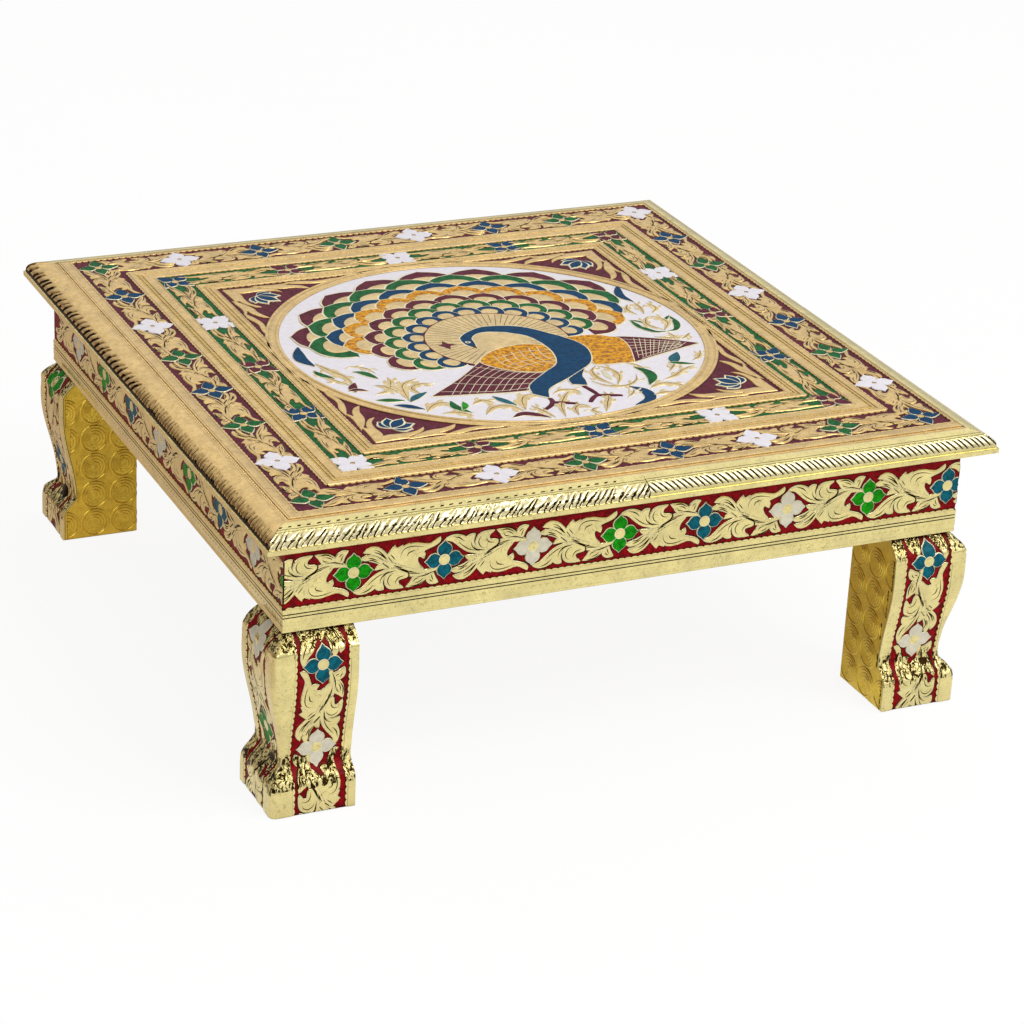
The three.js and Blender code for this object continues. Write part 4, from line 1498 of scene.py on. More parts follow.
def rope_half(side, way):
    """Half of an edge strip: ribs that lean away from the middle, a step, a plain lip and its fold."""
    lean, stretch, dark, crumple, end = ROPE_LINES[side][0 if way > 0 else 1]
    outer, inner, steps = edge_sections()
    pitch = sizes().rope_pitch / MM * stretch
    travelled = np.concatenate([[0], np.cumsum(np.linalg.norm(np.diff(outer, axis=0), axis=1))])
    length = travelled[steps]
    slope = np.gradient(outer, axis=0)
    outward = np.column_stack([-slope[:, 1], slope[:, 0]])
    outward /= np.linalg.norm(outward, axis=1, keepdims=True)
    outward *= -1 if outward[steps // 2] @ (1, 1) < 0 else 1

    draw = np.random.default_rng(60 + side * 2 + way)
    number = np.arange(-3, math.ceil((TABLE_HALF + 14) / pitch) + 1)
    step = np.arange(-3 * CELLS_IN_RIB, number[-1] * CELLS_IN_RIB + 1) / CELLS_IN_RIB
    loose = 0.1 + crumple * 0.3
    line = (step + np.interp(step, number, draw.uniform(-loose, loose, len(number)))) * pitch
    leans = lean + np.interp(step, number, draw.uniform(-loose, loose, len(number)))
    left = length - np.minimum(travelled, length + 3)
    u = np.maximum(line[:, None] - left[None, :] * leans[:, None], 0)

    rib = np.sqrt(np.clip(1 - (2 * (step % 1) - 1) ** 2, 0, 1))
    ribbed = np.clip((travelled - RIB_START * length) / 1.2, 0, 1)
    ribbed *= np.clip((end * length - travelled) / 0.8, 0, 1)
    depth = sizes().rope_depth / MM * (1 - rib)[:, None] * ribbed[None, :]
    if crumple:
        places = np.stack([u * way, *np.broadcast_arrays(outer[None, :, 0], outer[None, :, 1], u)[:2]], -1)
        fold = creased(places.reshape(-1, 3) + side * 20.0, 70 + side).reshape(u.shape)
        reach = np.clip(travelled / 4, 0, 1) * np.clip((end * length + 0.6 - travelled) / 1.2, 0, 1)
        depth = np.minimum(depth + crumple * fold * reach[None, :], DEEPEST_FOLD)
    front = outer[None] - outward[None] * depth[..., None]
    x = np.minimum(u, front[..., 0] - MITRE) * way
    front = np.stack([x, -front[..., 0], front[..., 1]], -1)
    x = np.minimum(u, inner[None, :, 0] - MITRE) * way
    back = np.stack([x, *np.broadcast_arrays(-inner[None, :, 0], inner[None, :, 1], x)[:2]], -1)

    cell = np.arange(len(line) - 1) % CELLS_IN_RIB
    off_groove = np.minimum(cell, CELLS_IN_RIB - cell)
    middle = (travelled[:-1] + travelled[1:]) / 2 / length
    tint = np.full((len(line) - 1, len(outer) - 1), GOLD)
    # The left side's quarter round takes the darker top gold: painted shade on that side.
    tint[:, middle < 1] = TOP_GOLD if side == 3 else GOLD
    if side == 0:
        # Painted highlight: the front's ribs take the paler highlight gold.
        tint[:, (middle > RIB_START + 0.03) & (middle < end)] = HIGHLIGHT_GOLD
        tint[:, LINED_ROWS] = DARK_MARK_AND_SHADE
        if way < 0:
            place = u[:-1, DASHED_ROW]
            tint[(place > 12) & (place % DASH_PITCH < 0.4 * DASH_PITCH), DASHED_ROW] = DARK_MARK_AND_SHADE
    # Painted shade in the grooves between the ribs, from a random start down to the ribs' end.
    first = draw.uniform(RIB_START + 0.03, RIB_START + 0.08 + crumple * 0.7, len(number))
    share = middle[None, :]
    below = (share > np.interp(step[:-1], number, first)[:, None]) & (share < end)
    tint[(off_groove < dark)[:, None] & below] = DARK_MARK_AND_SHADE
    # Painted shade: dark flecks at the lower ends of the front's crumpled ribs.
    if crumple and side == 0:
        fleck = draw.random((len(number), len(middle)))[np.floor(step[:-1]).astype(int) % len(number)]
        flecked = (fleck < 0.6 - line[:-1, None] / 400) & (share > 0.75) & (share < 1)
        tint[flecked & (off_groove < 4)[:, None]] = DARK_MARK_AND_SHADE
    # Painted shadow on the left side: a dark band under the rope at the step, and dark lower ends of the
    # ribs.
    if side == 3:
        tint[:, steps - 1 : steps + 2] = DARK_MARK_AND_SHADE
        if way > 0:
            edge = np.interp(step[:-1], number, draw.uniform(0.84, 1.04, len(number)))[:, None]
            tint[(share > edge) & (share < 1) & (line[:-1, None] > 20)] = DARK_MARK_AND_SHADE
    return shell(front, back, tint, GOLD)


def rope_strip(side):
    """One edge strip, from its two halves."""
    strip = joined([rope_half(side, 1), rope_half(side, -1)])
    name = SIDES[side]
    make_piece(f"rope_edge_{name}", [quarter_turned(strip, side)], [f"edge_strip_{name}"])


# The aprons, in the frame of the front one: along it, and out from its enamel floor

APRON_FLOOR = APRON_HALF - 0.5
RED_TOP = 131.8
RED_BOTTOM = 104.3
APRON_ROW = (RED_TOP + RED_BOTTOM) / 2
APRON_PITCH = 44.9
APRON_REACH = 12.7
SIDE_FLOWER = 9.9

# For each side, where its first flower stands and which of the three colours it has

APRON_COLOURS = (LEAF_GREEN, TEAL, PALE)
APRON_STARTS = ((-143.4, 0), (-143.2, 0), (-143.2, 0), (-131.8, 2))

# The section of an apron, from the top: height and depth, and the rows that aren't gold

APRON_SECTION = (
    ((LIP_BOTTOM - GLUE * 2, 0), (RED_TOP + 0.15, 0), (RED_TOP, 0.5), (RED_BOTTOM, 0.5))
    + ((RED_BOTTOM - 0.15, 0), (101.9, 0), (101.8, 0.4), (101.45, 0.4), (101.35, 0), (100.3, 0))
    + ((100.2, 0.4), (99.85, 0.4), (99.75, 0), (96.2, 0), (95.9, 0.12), (94.2, 0.12), (93.9, 0))
    + ((APRON_BOTTOM + 0.3, 0), (APRON_BOTTOM, 0.3))
)
RED_ROWS = (1, 2, 3)
GROOVE_ROWS = (6, 10)


def on_apron(patch, side, x=0.0, z=0.0):
    """The patch stood up on an apron."""
    laid = moved(patch, x, z)
    points = np.column_stack([laid.points[:, 0], -(APRON_FLOOR + laid.points[:, 2]), laid.points[:, 1]])
    return quarter_turned(Patch(points, laid.faces, laid.finish), side)


def cut_off(patch, axis, limit, above):
    """The patch without what lies above (or below) a limit along an axis, closed at the cut."""
    way = 1.0 if above else -1.0
    if not len(patch.faces) or (patch.points[:, axis] * way).max() <= limit * way:
        return patch
    mesh = bmesh.new()
    corners = [mesh.verts.new(point) for point in patch.points]
    for face, finish in zip(patch.faces, patch.finish):
        made = mesh.faces.new([corners[index] for index in face])
        made.material_index = int(finish)
    place, normal = Vector(), Vector()
    place[axis], normal[axis] = limit, way
    every = mesh.verts[:] + mesh.edges[:] + mesh.faces[:]
    result = bmesh.ops.bisect_plane(
        mesh, geom=every, dist=1e-5, plane_co=place, plane_no=normal, clear_outer=True
    )
    edges = [item for item in result["geom_cut"] if isinstance(item, bmesh.types.BMEdge)]
    bmesh.ops.holes_fill(mesh, edges=edges)
    bmesh.ops.triangulate(mesh, faces=mesh.faces[:])
    mesh.verts.index_update()
    points = np.array([vertex.co[:] for vertex in mesh.verts]).reshape(-1, 3)
    faces = np.array([[vertex.index for vertex in face.verts] for face in mesh.faces], int).reshape(-1, 3)
    finish = np.array([face.material_index for face in mesh.faces], int)
    mesh.free()
    return Patch(points, faces, finish)


def apron_sheet(side):
    """One apron: gold margins, lines and dents, a red enamel floor and its scalloped border."""
    name = SIDES[side]
    heights, under_table_shade = np.array(APRON_SECTION).T
    reaches = APRON_HALF - under_table_shade
    behind = np.full(len(heights), APRON_HALF - 1)
    front, back = (
        np.stack([np.column_stack([end * (reach - MITRE), -reach, heights]) for end in (-1, 1)])
        for reach in (reaches, behind)
    )
    finish = np.full((1, len(heights) - 1), GOLD)
    finish[:, RED_ROWS] = RED
    finish[:, GROOVE_ROWS] = DARK_MARK_AND_SHADE
    run = 2 * (APRON_HALF - 1.5)
    border = scallops(run, 1.2, 0.55, GOLD)
    dents = joined(row_of(bead(0.42, 0.28, 2.4, GOLD), 96, (-run / 2 + 3, 97.6), (3.66, 0)))
    patches = [
        quarter_turned(shell(front, back, finish, GOLD), side),
        on_apron(border, side, -run / 2, RED_BOTTOM - 0.2),
        on_apron(moved(dents, lift=0.45), side),
    ]
    make_piece(f"apron_plate_{name}", patches, [f"apron_sheet_{name}"])


def apron_scrolls():
    """Gold leaves and enamel flowers of the four aprons."""
    leaves = scroll(APRON_PITCH, APRON_REACH, GOLD, 0.65, crest())
    end = APRON_HALF - 0.6
    for side, (name, (start, first)) in enumerate(zip(SIDES, APRON_STARTS)):
        patches = []
        for index in range(-1, 8):
            x = start + APRON_PITCH * index
            laid = cut_off(moved(leaves, x, stretch=(1, (-1) ** index)), 0, end, True)
            patches.append(on_apron(cut_off(laid, 0, -end, False), side, 0, APRON_ROW))
            if index >= 0:
                bloom = flower(APRON_COLOURS[(first + index) % 3], SIDE_FLOWER)
                laid = cut_off(moved(bloom, x), 0, end, True)
                if len(laid.faces):
                    patches.append(on_apron(laid, side, 0, APRON_ROW))
        make_piece(f"apron_scroll_{name}", patches)


# The legs, in the frame of a corner: zero is the leg's inner edge, and both axes point outwards

FOOT_HEIGHT = 15.0
FOOT_RISE = 10.0
WAIST_INSET = 6.8
KNEE_START = 71.7
KNEE = 83.7
KNEE_INSET = 8.5
CORNER_RADIUS = 3.5
STRIP_WIDTH = 27.5
LEG_PITCH = 45.8
LEG_REACH = 11.8
DEEP_FOLD = 0.56
DEEPEST_FOLD = 0.85
STRIP_SHARE = 0.36
MARGIN, RECESS, LAST = range(3)
LINING_STEPS = 22
COINS_ACROSS = 3

# For each leg, the strip on the face across X and on the face across Y: where it starts from the
# inner edge, the height of its lower flower, and the colours of its lower and upper flower

LEG_STRIPS = (
    ((4.6, 33.0, PALE, TEAL), (4.6, 36.0, LEAF_GREEN, PALE)),
    ((4.8, 31.0, TEAL, LEAF_GREEN), (5.2, 40.5, TEAL, LEAF_GREEN)),
    ((4.9, 37.5, LEAF_GREEN, PALE), (3.8, 31.3, PALE, TEAL)),
    ((5.2, 35.2, PALE, TEAL), (4.6, 33.0, LEAF_GREEN, TEAL)),
)


def ease(share):
    """A smooth rise from zero to one."""
    return (1 - np.cos(math.pi * np.clip(share, 0, 1))) / 2


def leg_inset(height):
    """How far the outer faces of a leg draw in at a height."""
    waist = FOOT_HEIGHT + FOOT_RISE
    fall = 1 - ease((height - waist) / (KNEE_START - waist))
    waisted = WAIST_INSET * ease((height - FOOT_HEIGHT) / FOOT_RISE) * fall
    share = np.clip((height - KNEE) / (LEG_TOP - KNEE), 0, 1)
    bend = (1 - np.cos(math.pi / 4 * share)) / (1 - math.cos(math.pi / 4))
    return waisted + KNEE_INSET * (bend + share) / 2


def creased(points, seed):
    """Sharp folds of foil: sums of slanting ridges, from zero to about one."""
    draw = np.random.default_rng(seed)
    total = np.zeros(len(points))
    for size in (9.0, 6.5, 4.5, 3.2, 2.4):
        direction = draw.normal(size=3)
        direction /= np.linalg.norm(direction)
        bend = draw.normal(size=3)
        phase = points @ direction / size + np.sin(points @ bend / (size * 2.2)) * 0.7 + draw.random()
        total += (1 - np.abs(2 * (phase % 1) - 1)) ** 2.2 * (size / 9) ** 0.7
    return total / 2.2


def crinkled(points, height, corner, share=1.0):
    """How deep the foil of a leg is crumpled, kept short of the wood behind the sheet."""
    folds = creased(points + corner * 50.0, 11 + corner)
    return np.minimum(sizes().crinkle_depth / MM * crinkle_mask(height) * folds, DEEPEST_FOLD) * share


def crinkle_mask(height):
    """Where the foil of a leg is crumpled: over the knee and round the foot's slope."""
    knee = np.clip((height - 74) / 8, 0, 1)
    foot = np.clip((height - 11) / 5, 0, 1) * np.clip((33 - height) / 7, 0, 1)
    return np.maximum(knee * 0.75, foot)


def crushed(height):
    """Whether the foil at a height is crushed into fine folds: round the foot's slope."""
    return ((height > 14.5) & (height < 29)) | (height > 86)


def leg_columns(starts):
    """Columns round the plan of a leg's sheet: the face (2 is the round corner), the place on it and
    its kind. A place in the last part is a share of the way to the round corner, as on that corner.
    """
    columns = []
    for face, start in enumerate(starts):
        end = start + STRIP_WIDTH
        run = [(face, value, MARGIN) for value in np.linspace(0, start - 0.06, 5)]
        run += [(face, value, RECESS) for value in np.linspace(start, end, 26)]
        run += [(face, end + 0.06, MARGIN), (face, end + 0.3, MARGIN), (face, 0.5, LAST), (face, 1, LAST)]
        columns.append(run)
    turn = [(2, share, MARGIN) for share in np.linspace(0, 1, 7)[1:-1]]
    return columns[0] + turn + columns[1][::-1]


def leg_plate(corner):
    """The sheet over the two outer faces of a leg, with a recess for the enamel on each."""
    starts = [start for start, *_ in LEG_STRIPS[corner]]
    columns = leg_columns(starts)
    runs = ((LEG_BOTTOM, 14, 1.9), (14, 34, 0.8), (34, 74, 2.2), (74, LEG_TOP, 0.8))
    heights = np.concatenate([np.arange(*run) for run in runs] + [[LEG_TOP]])
    outer = LEG_WIDTH - leg_inset(heights)
    radius = np.clip(outer - max(starts) - STRIP_WIDTH - 0.4, 0.15, CORNER_RADIUS)
    inner = np.maximum(radius - 1, 0.1)
    front = np.zeros((len(columns), len(heights), 3))
    back = np.zeros_like(front)
    for index, (face, place, kind) in enumerate(columns):
        if face == 2:
            way = np.array([[math.cos(place * math.pi / 2)], [math.sin(place * math.pi / 2)]])
            seen = outer - radius + radius * way
            hidden = outer - 1 - inner + inner * way
        else:
            end = starts[face] + STRIP_WIDTH + 0.3
            run = end + (outer - radius - end) * place if kind == LAST else np.full(len(heights), place)
            turn = -1 if face else 1
            seen = np.stack([outer - (0.5 if kind == RECESS else 0), run])[::turn]
            hidden = np.stack([outer - 1, np.minimum(run, outer - 1 - inner)])[::turn]
        front[index] = np.vstack([seen, heights]).T
        back[index] = np.vstack([hidden, heights]).T
    recessed = np.array([kind == RECESS for _, _, kind in columns])
    flat = front.reshape(-1, 3)
    fold = creased(flat + corner * 50.0, 11 + corner).reshape(front.shape[:2])
    depth = crinkled(flat, flat[:, 2], corner).reshape(front.shape[:2])
    depth[recessed] *= STRIP_SHARE
    angle = np.array([(0, 1, place)[face] for face, place, _ in columns])[:, None] * math.pi / 2
    front[..., 0] -= depth * np.cos(angle)
    front[..., 1] -= depth * np.sin(angle)
    tint = np.where(recessed[:-1] & recessed[1:], RED, GOLD)[:, None]
    # Painted shade: the deepest folds of the gold turn dark.
    deep = (depth[:-1, :-1] + depth[1:, 1:]) / 2 > sizes().crinkle_depth / MM * DEEP_FOLD
    middle = (heights[:-1] + heights[1:])[None, :] / 2 + fold[:-1, :-1] * 3
    tint = np.where(crushed(middle) & (tint == GOLD), FOLDED, tint)
    sheet = shell(front, back, np.where(deep & (tint == GOLD), DARK_MARK_AND_SHADE, tint), GOLD)
    return stood_in_corner(sheet, corner)


def stood_in_corner(patch, corner):
    """The patch carried from a leg's own frame to its corner of the table."""
    shifted = Patch(patch.points + (LEG_INNER, LEG_INNER, 0), patch.faces, patch.finish)
    return quarter_turned(shifted, corner)


def on_leg(patch, corner, face, start):
    """The patch wrapped on a leg's face. Its X runs up the leg, and its Y outwards along the face."""
    height = patch.points[:, 0]
    place = start + STRIP_WIDTH / 2 + patch.points[:, 1]
    outer = LEG_WIDTH - leg_inset(height) - 0.5 + patch.points[:, 2]
    points = np.column_stack([place, outer, height] if face else [outer, place, height])
    faces = patch.faces if face else patch.faces[:, ::-1]
    points[:, face] -= crinkled(points, height, corner, STRIP_SHARE)
    middle = points[faces].mean(1)
    held = crushed(middle[:, 2] + creased(middle + corner * 50.0, 5) * 3 - 1)
    golden = (patch.finish == GOLD) | (patch.finish == HIGHLIGHT_GOLD)
    finish = np.where(held & golden, FOLDED, patch.finish)
    return stood_in_corner(facing_out(Patch(points, faces, finish)), corner)


def leg_ornament(corner):
    """Leaves, flowers and scalloped borders on the two strips of a leg."""
    leaves = scroll(LEG_PITCH, LEG_REACH, GOLD, 0.8, crest())
    border = scallops(LEG_TOP - LEG_BOTTOM - 0.6, 1.4, 0.9, GOLD)
    low, high = LEG_BOTTOM + 0.4, LEG_TOP - 0.4
    patches = []
    for face, (start, first, *colours_up) in enumerate(LEG_STRIPS[corner]):
        laid = []
        for index in range(-1, 3):
            x = first + LEG_PITCH * index
            if x <= high:
                run = cut_off(moved(leaves, x, stretch=(1, (-1) ** index)), 0, high, True)
                laid.append(cut_off(run, 0, low, False))
        for index, colour in enumerate(colours_up):
            bloom = moved(flower(colour, SIDE_FLOWER), first + LEG_PITCH * index)
            laid.append(cut_off(bloom, 0, high, True))
        laid += [moved(border, low, -side * STRIP_WIDTH / 2, stretch=(1, side)) for side in (1, -1)]
        patches += [on_leg(patch, corner, face, start) for patch in laid]
    return patches


def legs():
    """The sheet and the ornament of each leg."""
    for corner, name in enumerate(CORNERS):
        make_piece(f"leg_plate_{name}", [leg_plate(corner)], [f"leg_sheet_{name}"])
        make_piece(f"leg_scroll_{name}", leg_ornament(corner))


COIN_SIDES = 28
COIN_PETALS = 7


def coin(radius):
    """An embossed coin: rings round a flower."""
    rows = [(1.0, -0.3), (1.0, 0.0), (0.95, 0.3), (0.88, 0.3)]
    for share in (0.74, 0.54, 0.34):
        rows += [(share + 0.1, 0.04), (share + 0.06, 0.04), (share + 0.03, 0.28), (share - 0.03, 0.28)]
    rows += [(0.24, 0.04), (0.2, 0.04), (0.12, 0.3), (0.0, 0.34)]
    ripple = 1 + 0.07 * np.cos(np.arange(COIN_SIDES) * 2 * math.pi / COIN_SIDES * COIN_PETALS)
    rings = [(radius * share * (ripple if 0.2 < share < 0.5 else 1), height) for share, height in rows]
    grid = round_grid(rings, COIN_SIDES)
    return facing_out(without_slivers(loft(grid, COIN_GOLD, closed_columns=True)))


def leg_lining(corner):
    """The foil inside a leg: two faces of embossed coins, with a crumpled overlap."""
    reach = LEG_WIDTH - 1 - GLUE
    inwards, outwards = np.linspace(reach, 0, LINING_STEPS), np.linspace(0, reach, LINING_STEPS)
    places = np.concatenate([inwards, outwards[1:]])
    heights = np.unique(np.concatenate([np.arange(LEG_BOTTOM, LEG_TOP, 1.7), [LEG_TOP]]))
    share = np.clip((places - LEG_WIDTH / 2) / (reach - LEG_WIDTH / 2), 0, 1)[:, None]
    drawn = places[:, None] - leg_inset(heights) * share
    number = np.arange(len(places))
    face = (number >= LINING_STEPS).astype(int)
    front = np.zeros((*drawn.shape, 3))
    front[number, :, face] = drawn
    back = np.maximum(front, 0.5)
    front[..., 2] = back[..., 2] = heights
    fold = creased(front.reshape(-1, 3) + corner * 31.0, 40 + corner).reshape(drawn.shape)
    depth = fold * (0.1 + 0.28 * np.exp(-(((places - reach * 0.6) / 3.2) ** 2)))[:, None]
    depth[LINING_STEPS - 1] = 0
    front[number, :, 1 - face] += depth
    patches = [stood_in_corner(shell(front, back, COIN_GOLD, COIN_GOLD), corner)]
    pitch = sizes().coin_pitch / MM
    unit = coin(pitch * 0.5)
    for height in np.arange(LEG_BOTTOM + pitch / 2, LEG_TOP + 5 - pitch / 2, pitch):
        spread = np.linspace(height - pitch / 2, height + pitch / 2, 9)
        limit = reach - leg_inset(spread).max() - 0.6
        for column in range(COINS_ACROSS):
            laid = cut_off(moved(unit, height, pitch * (0.45 + column)), 0, LEG_TOP - 0.3, True)
            laid = cut_off(cut_off(laid, 1, limit, True), 1, 0.4, False)
            if len(laid.faces):
                up, place, out = laid.points.T
                for axes in ([place, -out, up], [-out, place, up]):
                    stood = facing_out(Patch(np.column_stack(axes), laid.faces, laid.finish))
                    patches.append(stood_in_corner(stood, corner))
    name = CORNERS[corner]
    make_piece(f"leg_lining_{name}", patches, [f"leg_foil_{name}"])


# How the names of plain pieces start, and their finish. The first row that fits counts

WOODWORK = (
    (("top_board",), "board"),
    (("rail_nail", "top_nail", "leg_screw"), "steel"),
    (("leg_dowel",), "dowel"),
    (("rail_front", "rail_back"), "timber_x"),
    (("rail_",), "timber_y"),
    (("corner_block", "leg_"), "timber_z"),
)


def woodwork():
    """Gives the board, rails, blocks, legs, dowels, nails and screws their finishes."""
    for name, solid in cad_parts.items():
        for starts, finish in WOODWORK:
            if name.startswith(starts):
                solid.data.materials.clear()
                solid.data.materials.append(bpy.data.materials[finish])
                break


# The stage, with the camera where the photograph was taken from

FOCAL_IN_IMAGES = 3211.412 / 1024
AZIMUTH = math.radians(-25.383)
ELEVATION = math.radians(24.093)
ROLL = math.radians(2.893)
DISTANCE = 4.338 * 0.38
SLIDE = (-0.033 * 0.38, 0.23 * 0.38)


def set_camera():
    """A camera with the view of the photograph."""
    sideways, forwards = math.sin(AZIMUTH), -math.cos(AZIMUTH)
    flat = math.cos(ELEVATION)
    back = Vector((sideways * flat, forwards * flat, math.sin(ELEVATION)))
    level = (-back).cross(Vector((0, 0, 1))).normalized()
    upright = level.cross(-back)
    x = level * math.cos(ROLL) + upright * math.sin(ROLL)
    y = -level * math.sin(ROLL) + upright * math.cos(ROLL)
    camera = bpy.data.cameras.new("camera")
    camera.lens = camera.sensor_width * FOCAL_IN_IMAGES
    camera.clip_end = 50
    holder = bpy.data.objects.new("camera", camera)
    bpy.context.scene.collection.objects.link(holder)
    matrix = Matrix((x, y, back)).transposed().to_4x4()
    matrix.translation = back * DISTANCE - x * SLIDE[0] - y * SLIDE[1] + Vector((0, 0, TOP_Z * MM))
    holder.matrix_world = matrix
    bpy.context.scene.camera = holder


def set_lamp(name, place, target, size, power):
    """A soft square lamp that looks at a point."""
    light = bpy.data.lights.new(name, "AREA")
    light.shape = "SQUARE"
    light.size = size
    light.energy = power
    holder = bpy.data.objects.new(name, light)
    holder.location = place
    aim = Vector(target) - Vector(place)
    holder.rotation_euler = aim.to_track_quat("-Z", "Y").to_euler()
    bpy.context.scene.collection.objects.link(holder)


def grey(level):
    """A grey, as RGBA."""
    return (level, level, level, 1)


def set_world():
    """Soft light from all round, white to the camera, and paler above than below in reflections."""
    world = bpy.data.worlds.new("studio")
    bpy.context.scene.world = world
    world.use_nodes = True
    tree = world.node_tree
    tree.nodes.clear()
    rays = node(tree, "LightPath", {}).outputs
    place = node(tree, "TexCoord", {}).outputs["Generated"]
    way = node(tree, "SeparateXYZ", {"Vector": place})
    upward = span(tree, way.outputs["Z"], -1, 1, 0, 1)
    room = ramp(tree, upward, [(0.42, grey(0.3)), (0.56, grey(0.55)), (0.72, grey(1))])
    rightward = span(tree, way.outputs["X"], -1, 1, 0, 1)
    sides = ramp(tree, rightward, [(0.1, (0.22, 0.17, 0.14, 1)), (0.5, grey(1))])
    room = blend(tree, 1.0, room, sides, "MULTIPLY")
    soft = node(tree, "Background", {"Color": sides, "Strength": 0.74}).outputs[0]
    mirrored = node(tree, "Background", {"Color": room, "Strength": 1.0}).outputs[0]
    white = node(tree, "Background", {"Color": grey(1), "Strength": 1.0}).outputs[0]
    glossy = node(tree, "MixShader", {0: rays["Is Glossy Ray"], 1: soft, 2: mirrored}).outputs[0]
    seen = node(tree, "MixShader", {0: rays["Is Camera Ray"], 1: glossy, 2: white}).outputs[0]
    node(tree, "OutputWorld", {"Surface": seen})


FLOOR_HALF = 6.0


def set_floor():
    """A pale floor that shows nearly white and keeps a soft shadow. In reflections it glows, with painted
    shade towards the back left and under the table.
    """
    mesh = bpy.data.meshes.new("floor")
    corners = [(x, y, 0) for x, y in ring_of_corners(FLOOR_HALF)]
    mesh.from_pydata(corners, [], [(0, 1, 2, 3)])
    floor = bpy.data.objects.new("floor", mesh)
    bpy.context.scene.collection.objects.link(floor)
    tree, place = new_finish("floor")
    grain = speckle(tree, place, 0.3, 2)
    tint = ramp(tree, grain, [(0.3, grey(0.86)), (0.7, grey(0.9))])
    lit = node(tree, "BsdfDiffuse", {"Color": tint}).outputs[0]
    rays = node(tree, "LightPath", {}).outputs
    x, y = node(tree, "SeparateXYZ", {"Vector": place}).outputs[:2]
    # Painted shade, seen only in reflections: darker towards the back left and under the table.
    back_left_shade = span(tree, sum_of(tree, "SUBTRACT", y, x), -0.1, 0.4, 0, 1)
    hue = ramp(tree, back_left_shade, [(0, grey(0.9)), (1, (0.56, 0.44, 0.36, 1))])
    under_table_shade = [span(tree, sum_of(tree, "ABSOLUTE", out), 0.12, 0.2, 1, 0) for out in (x, y)]
    hue = blend(tree, sum_of(tree, "MULTIPLY", *under_table_shade), hue, (0.42, 0.36, 0.28, 1))
    hue = blend(tree, rays["Is Glossy Ray"], grey(1), hue)
    glow = node(tree, "Emission", {"Color": hue, "Strength": 1.03}).outputs[0]
    seen = sum_of(tree, "MULTIPLY", rays["Is Camera Ray"], 0.88)
    share = sum_of(tree, "MAXIMUM", seen, rays["Is Glossy Ray"])
    mixed = node(tree, "MixShader", {0: share, 1: lit, 2: glow})
    node(tree, "OutputMaterial", {"Surface": mixed.outputs[0]})
    mesh.materials.append(bpy.data.materials["floor"])


# Operators, one for each kind of piece


class BAJOT_OT_stage(Operator):
    """Set the camera, lamps, world and floor"""

    bl_idname = "bajot.stage"
    bl_label = "Set the stage"

    def execute(self, context):
        context.scene.view_settings.view_transform = "Standard"
        set_camera()
        set_lamp("key", (0.8, -1.1, 1.8), (0, 0, 0.08), 1.3, 18)
        set_lamp("side", (-1.2, -1.9, 1.3), (0, 0, 0.08), 1.0, 7)
        set_world()
        set_floor()
        return {"FINISHED"}


class BAJOT_OT_finishes(Operator):
    """Make the finishes and give them to the woodwork and fastenings"""

    bl_idname = "bajot.finishes"
    bl_label = "Make finishes and dress the woodwork"

    def execute(self, context):
        make_finishes()
        woodwork()
        return {"FINISHED"}


class BAJOT_OT_top(Operator):
    """Build the top sheet with its frames, scrolls and corner leaves"""

    bl_idname = "bajot.top"
    bl_label = "Build the top"

    def execute(self, context):
        top_plate()
        top_frames()
        top_beads()
        top_scrolls()
        corner_ornament()
        return {"FINISHED"}


class BAJOT_OT_medallion(Operator):
    """Build the ring, the fan of feathers, the bird and its scroll"""

    bl_idname = "bajot.medallion"
    bl_label = "Build the medallion"

    def execute(self, context):
        medallion_ring()
        feather_fan()
        bird()
        medallion_scroll()
        return {"FINISHED"}


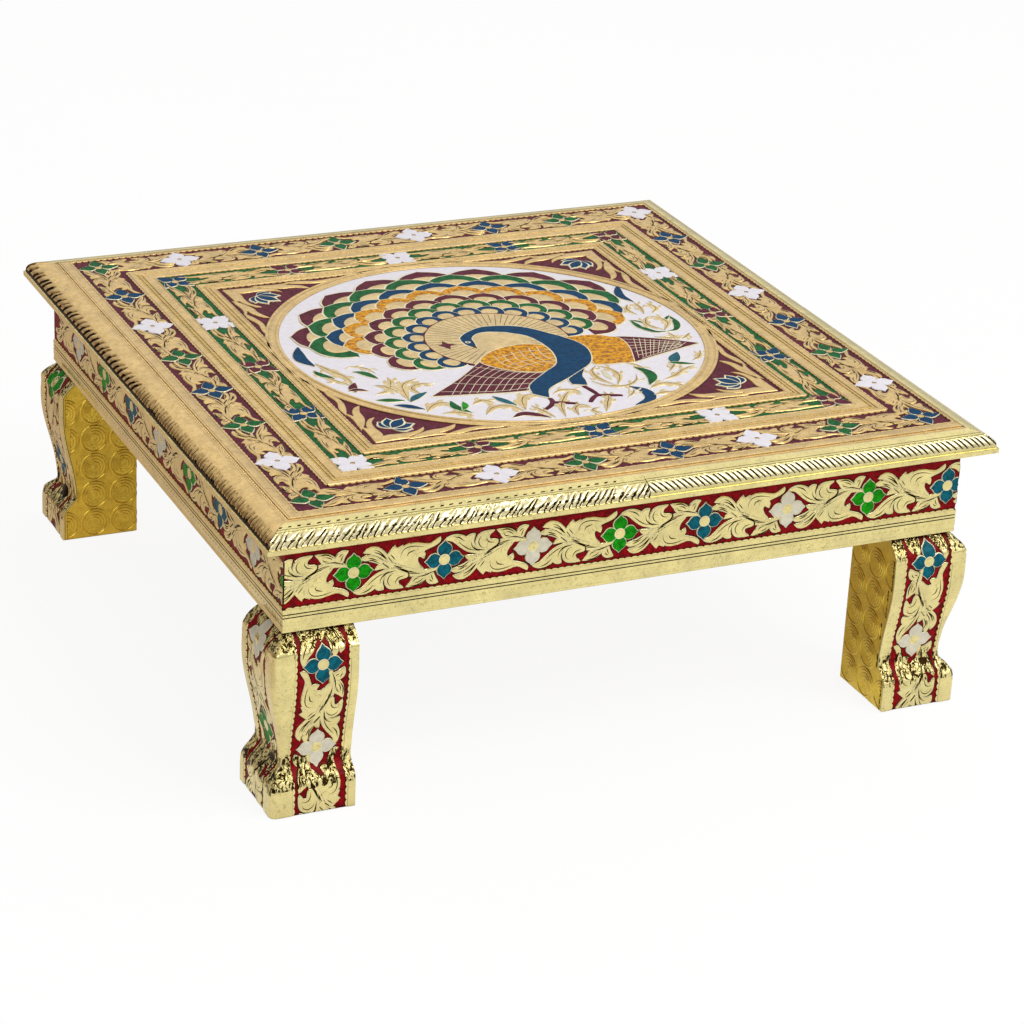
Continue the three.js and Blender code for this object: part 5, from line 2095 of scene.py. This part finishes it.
class BAJOT_OT_edges(Operator):
    """Build the rope moulding of the four sides"""

    bl_idname = "bajot.edges"
    bl_label = "Build the rope edges"

    def execute(self, context):
        for side in range(4):
            rope_strip(side)
        return {"FINISHED"}


class BAJOT_OT_aprons(Operator):
    """Build the four apron sheets with their leaves and flowers"""

    bl_idname = "bajot.aprons"
    bl_label = "Build the aprons"

    def execute(self, context):
        for side in range(4):
            apron_sheet(side)
        apron_scrolls()
        return {"FINISHED"}


class BAJOT_OT_legs(Operator):
    """Build the sheets, ornament and linings of the four legs"""

    bl_idname = "bajot.legs"
    bl_label = "Build the legs"

    def execute(self, context):
        legs()
        for corner in range(4):
            leg_lining(corner)
        return {"FINISHED"}


OPERATORS = (
    BAJOT_OT_stage,
    BAJOT_OT_finishes,
    BAJOT_OT_top,
    BAJOT_OT_medallion,
    BAJOT_OT_edges,
    BAJOT_OT_aprons,
    BAJOT_OT_legs,
)


class BAJOT_PT_panel(Panel):
    """Steps and settings of the table"""

    bl_label = "Bajot low table"
    bl_idname = "BAJOT_PT_panel"
    bl_space_type = "VIEW_3D"
    bl_region_type = "UI"
    bl_category = "Bajot"

    def draw(self, context):
        for operator in OPERATORS:
            self.layout.operator(operator.bl_idname)
        for settings in (context.scene.bajot_sizes, context.scene.bajot_colours):
            for name in settings.bl_rna.properties.keys():
                if name not in ("rna_type", "name"):
                    self.layout.prop(settings, name)


CLASSES = (BajotSizes, BajotColours) + OPERATORS + (BAJOT_PT_panel,)


def register():
    """Registers the classes and their settings."""
    for made in CLASSES:
        bpy.utils.register_class(made)
    bpy.types.Scene.bajot_sizes = PointerProperty(type=BajotSizes)
    bpy.types.Scene.bajot_colours = PointerProperty(type=BajotColours)


def unregister():
    """Takes the classes and their settings away."""
    del bpy.types.Scene.bajot_colours
    del bpy.types.Scene.bajot_sizes
    for made in reversed(CLASSES):
        bpy.utils.unregister_class(made)


def main():
    """Runs every step in order."""
    register()
    bpy.ops.bajot.stage()
    bpy.ops.bajot.finishes()
    bpy.ops.bajot.top()
    bpy.ops.bajot.medallion()
    bpy.ops.bajot.edges()
    bpy.ops.bajot.aprons()
    bpy.ops.bajot.legs()


if __name__ == "__main__":
    main()
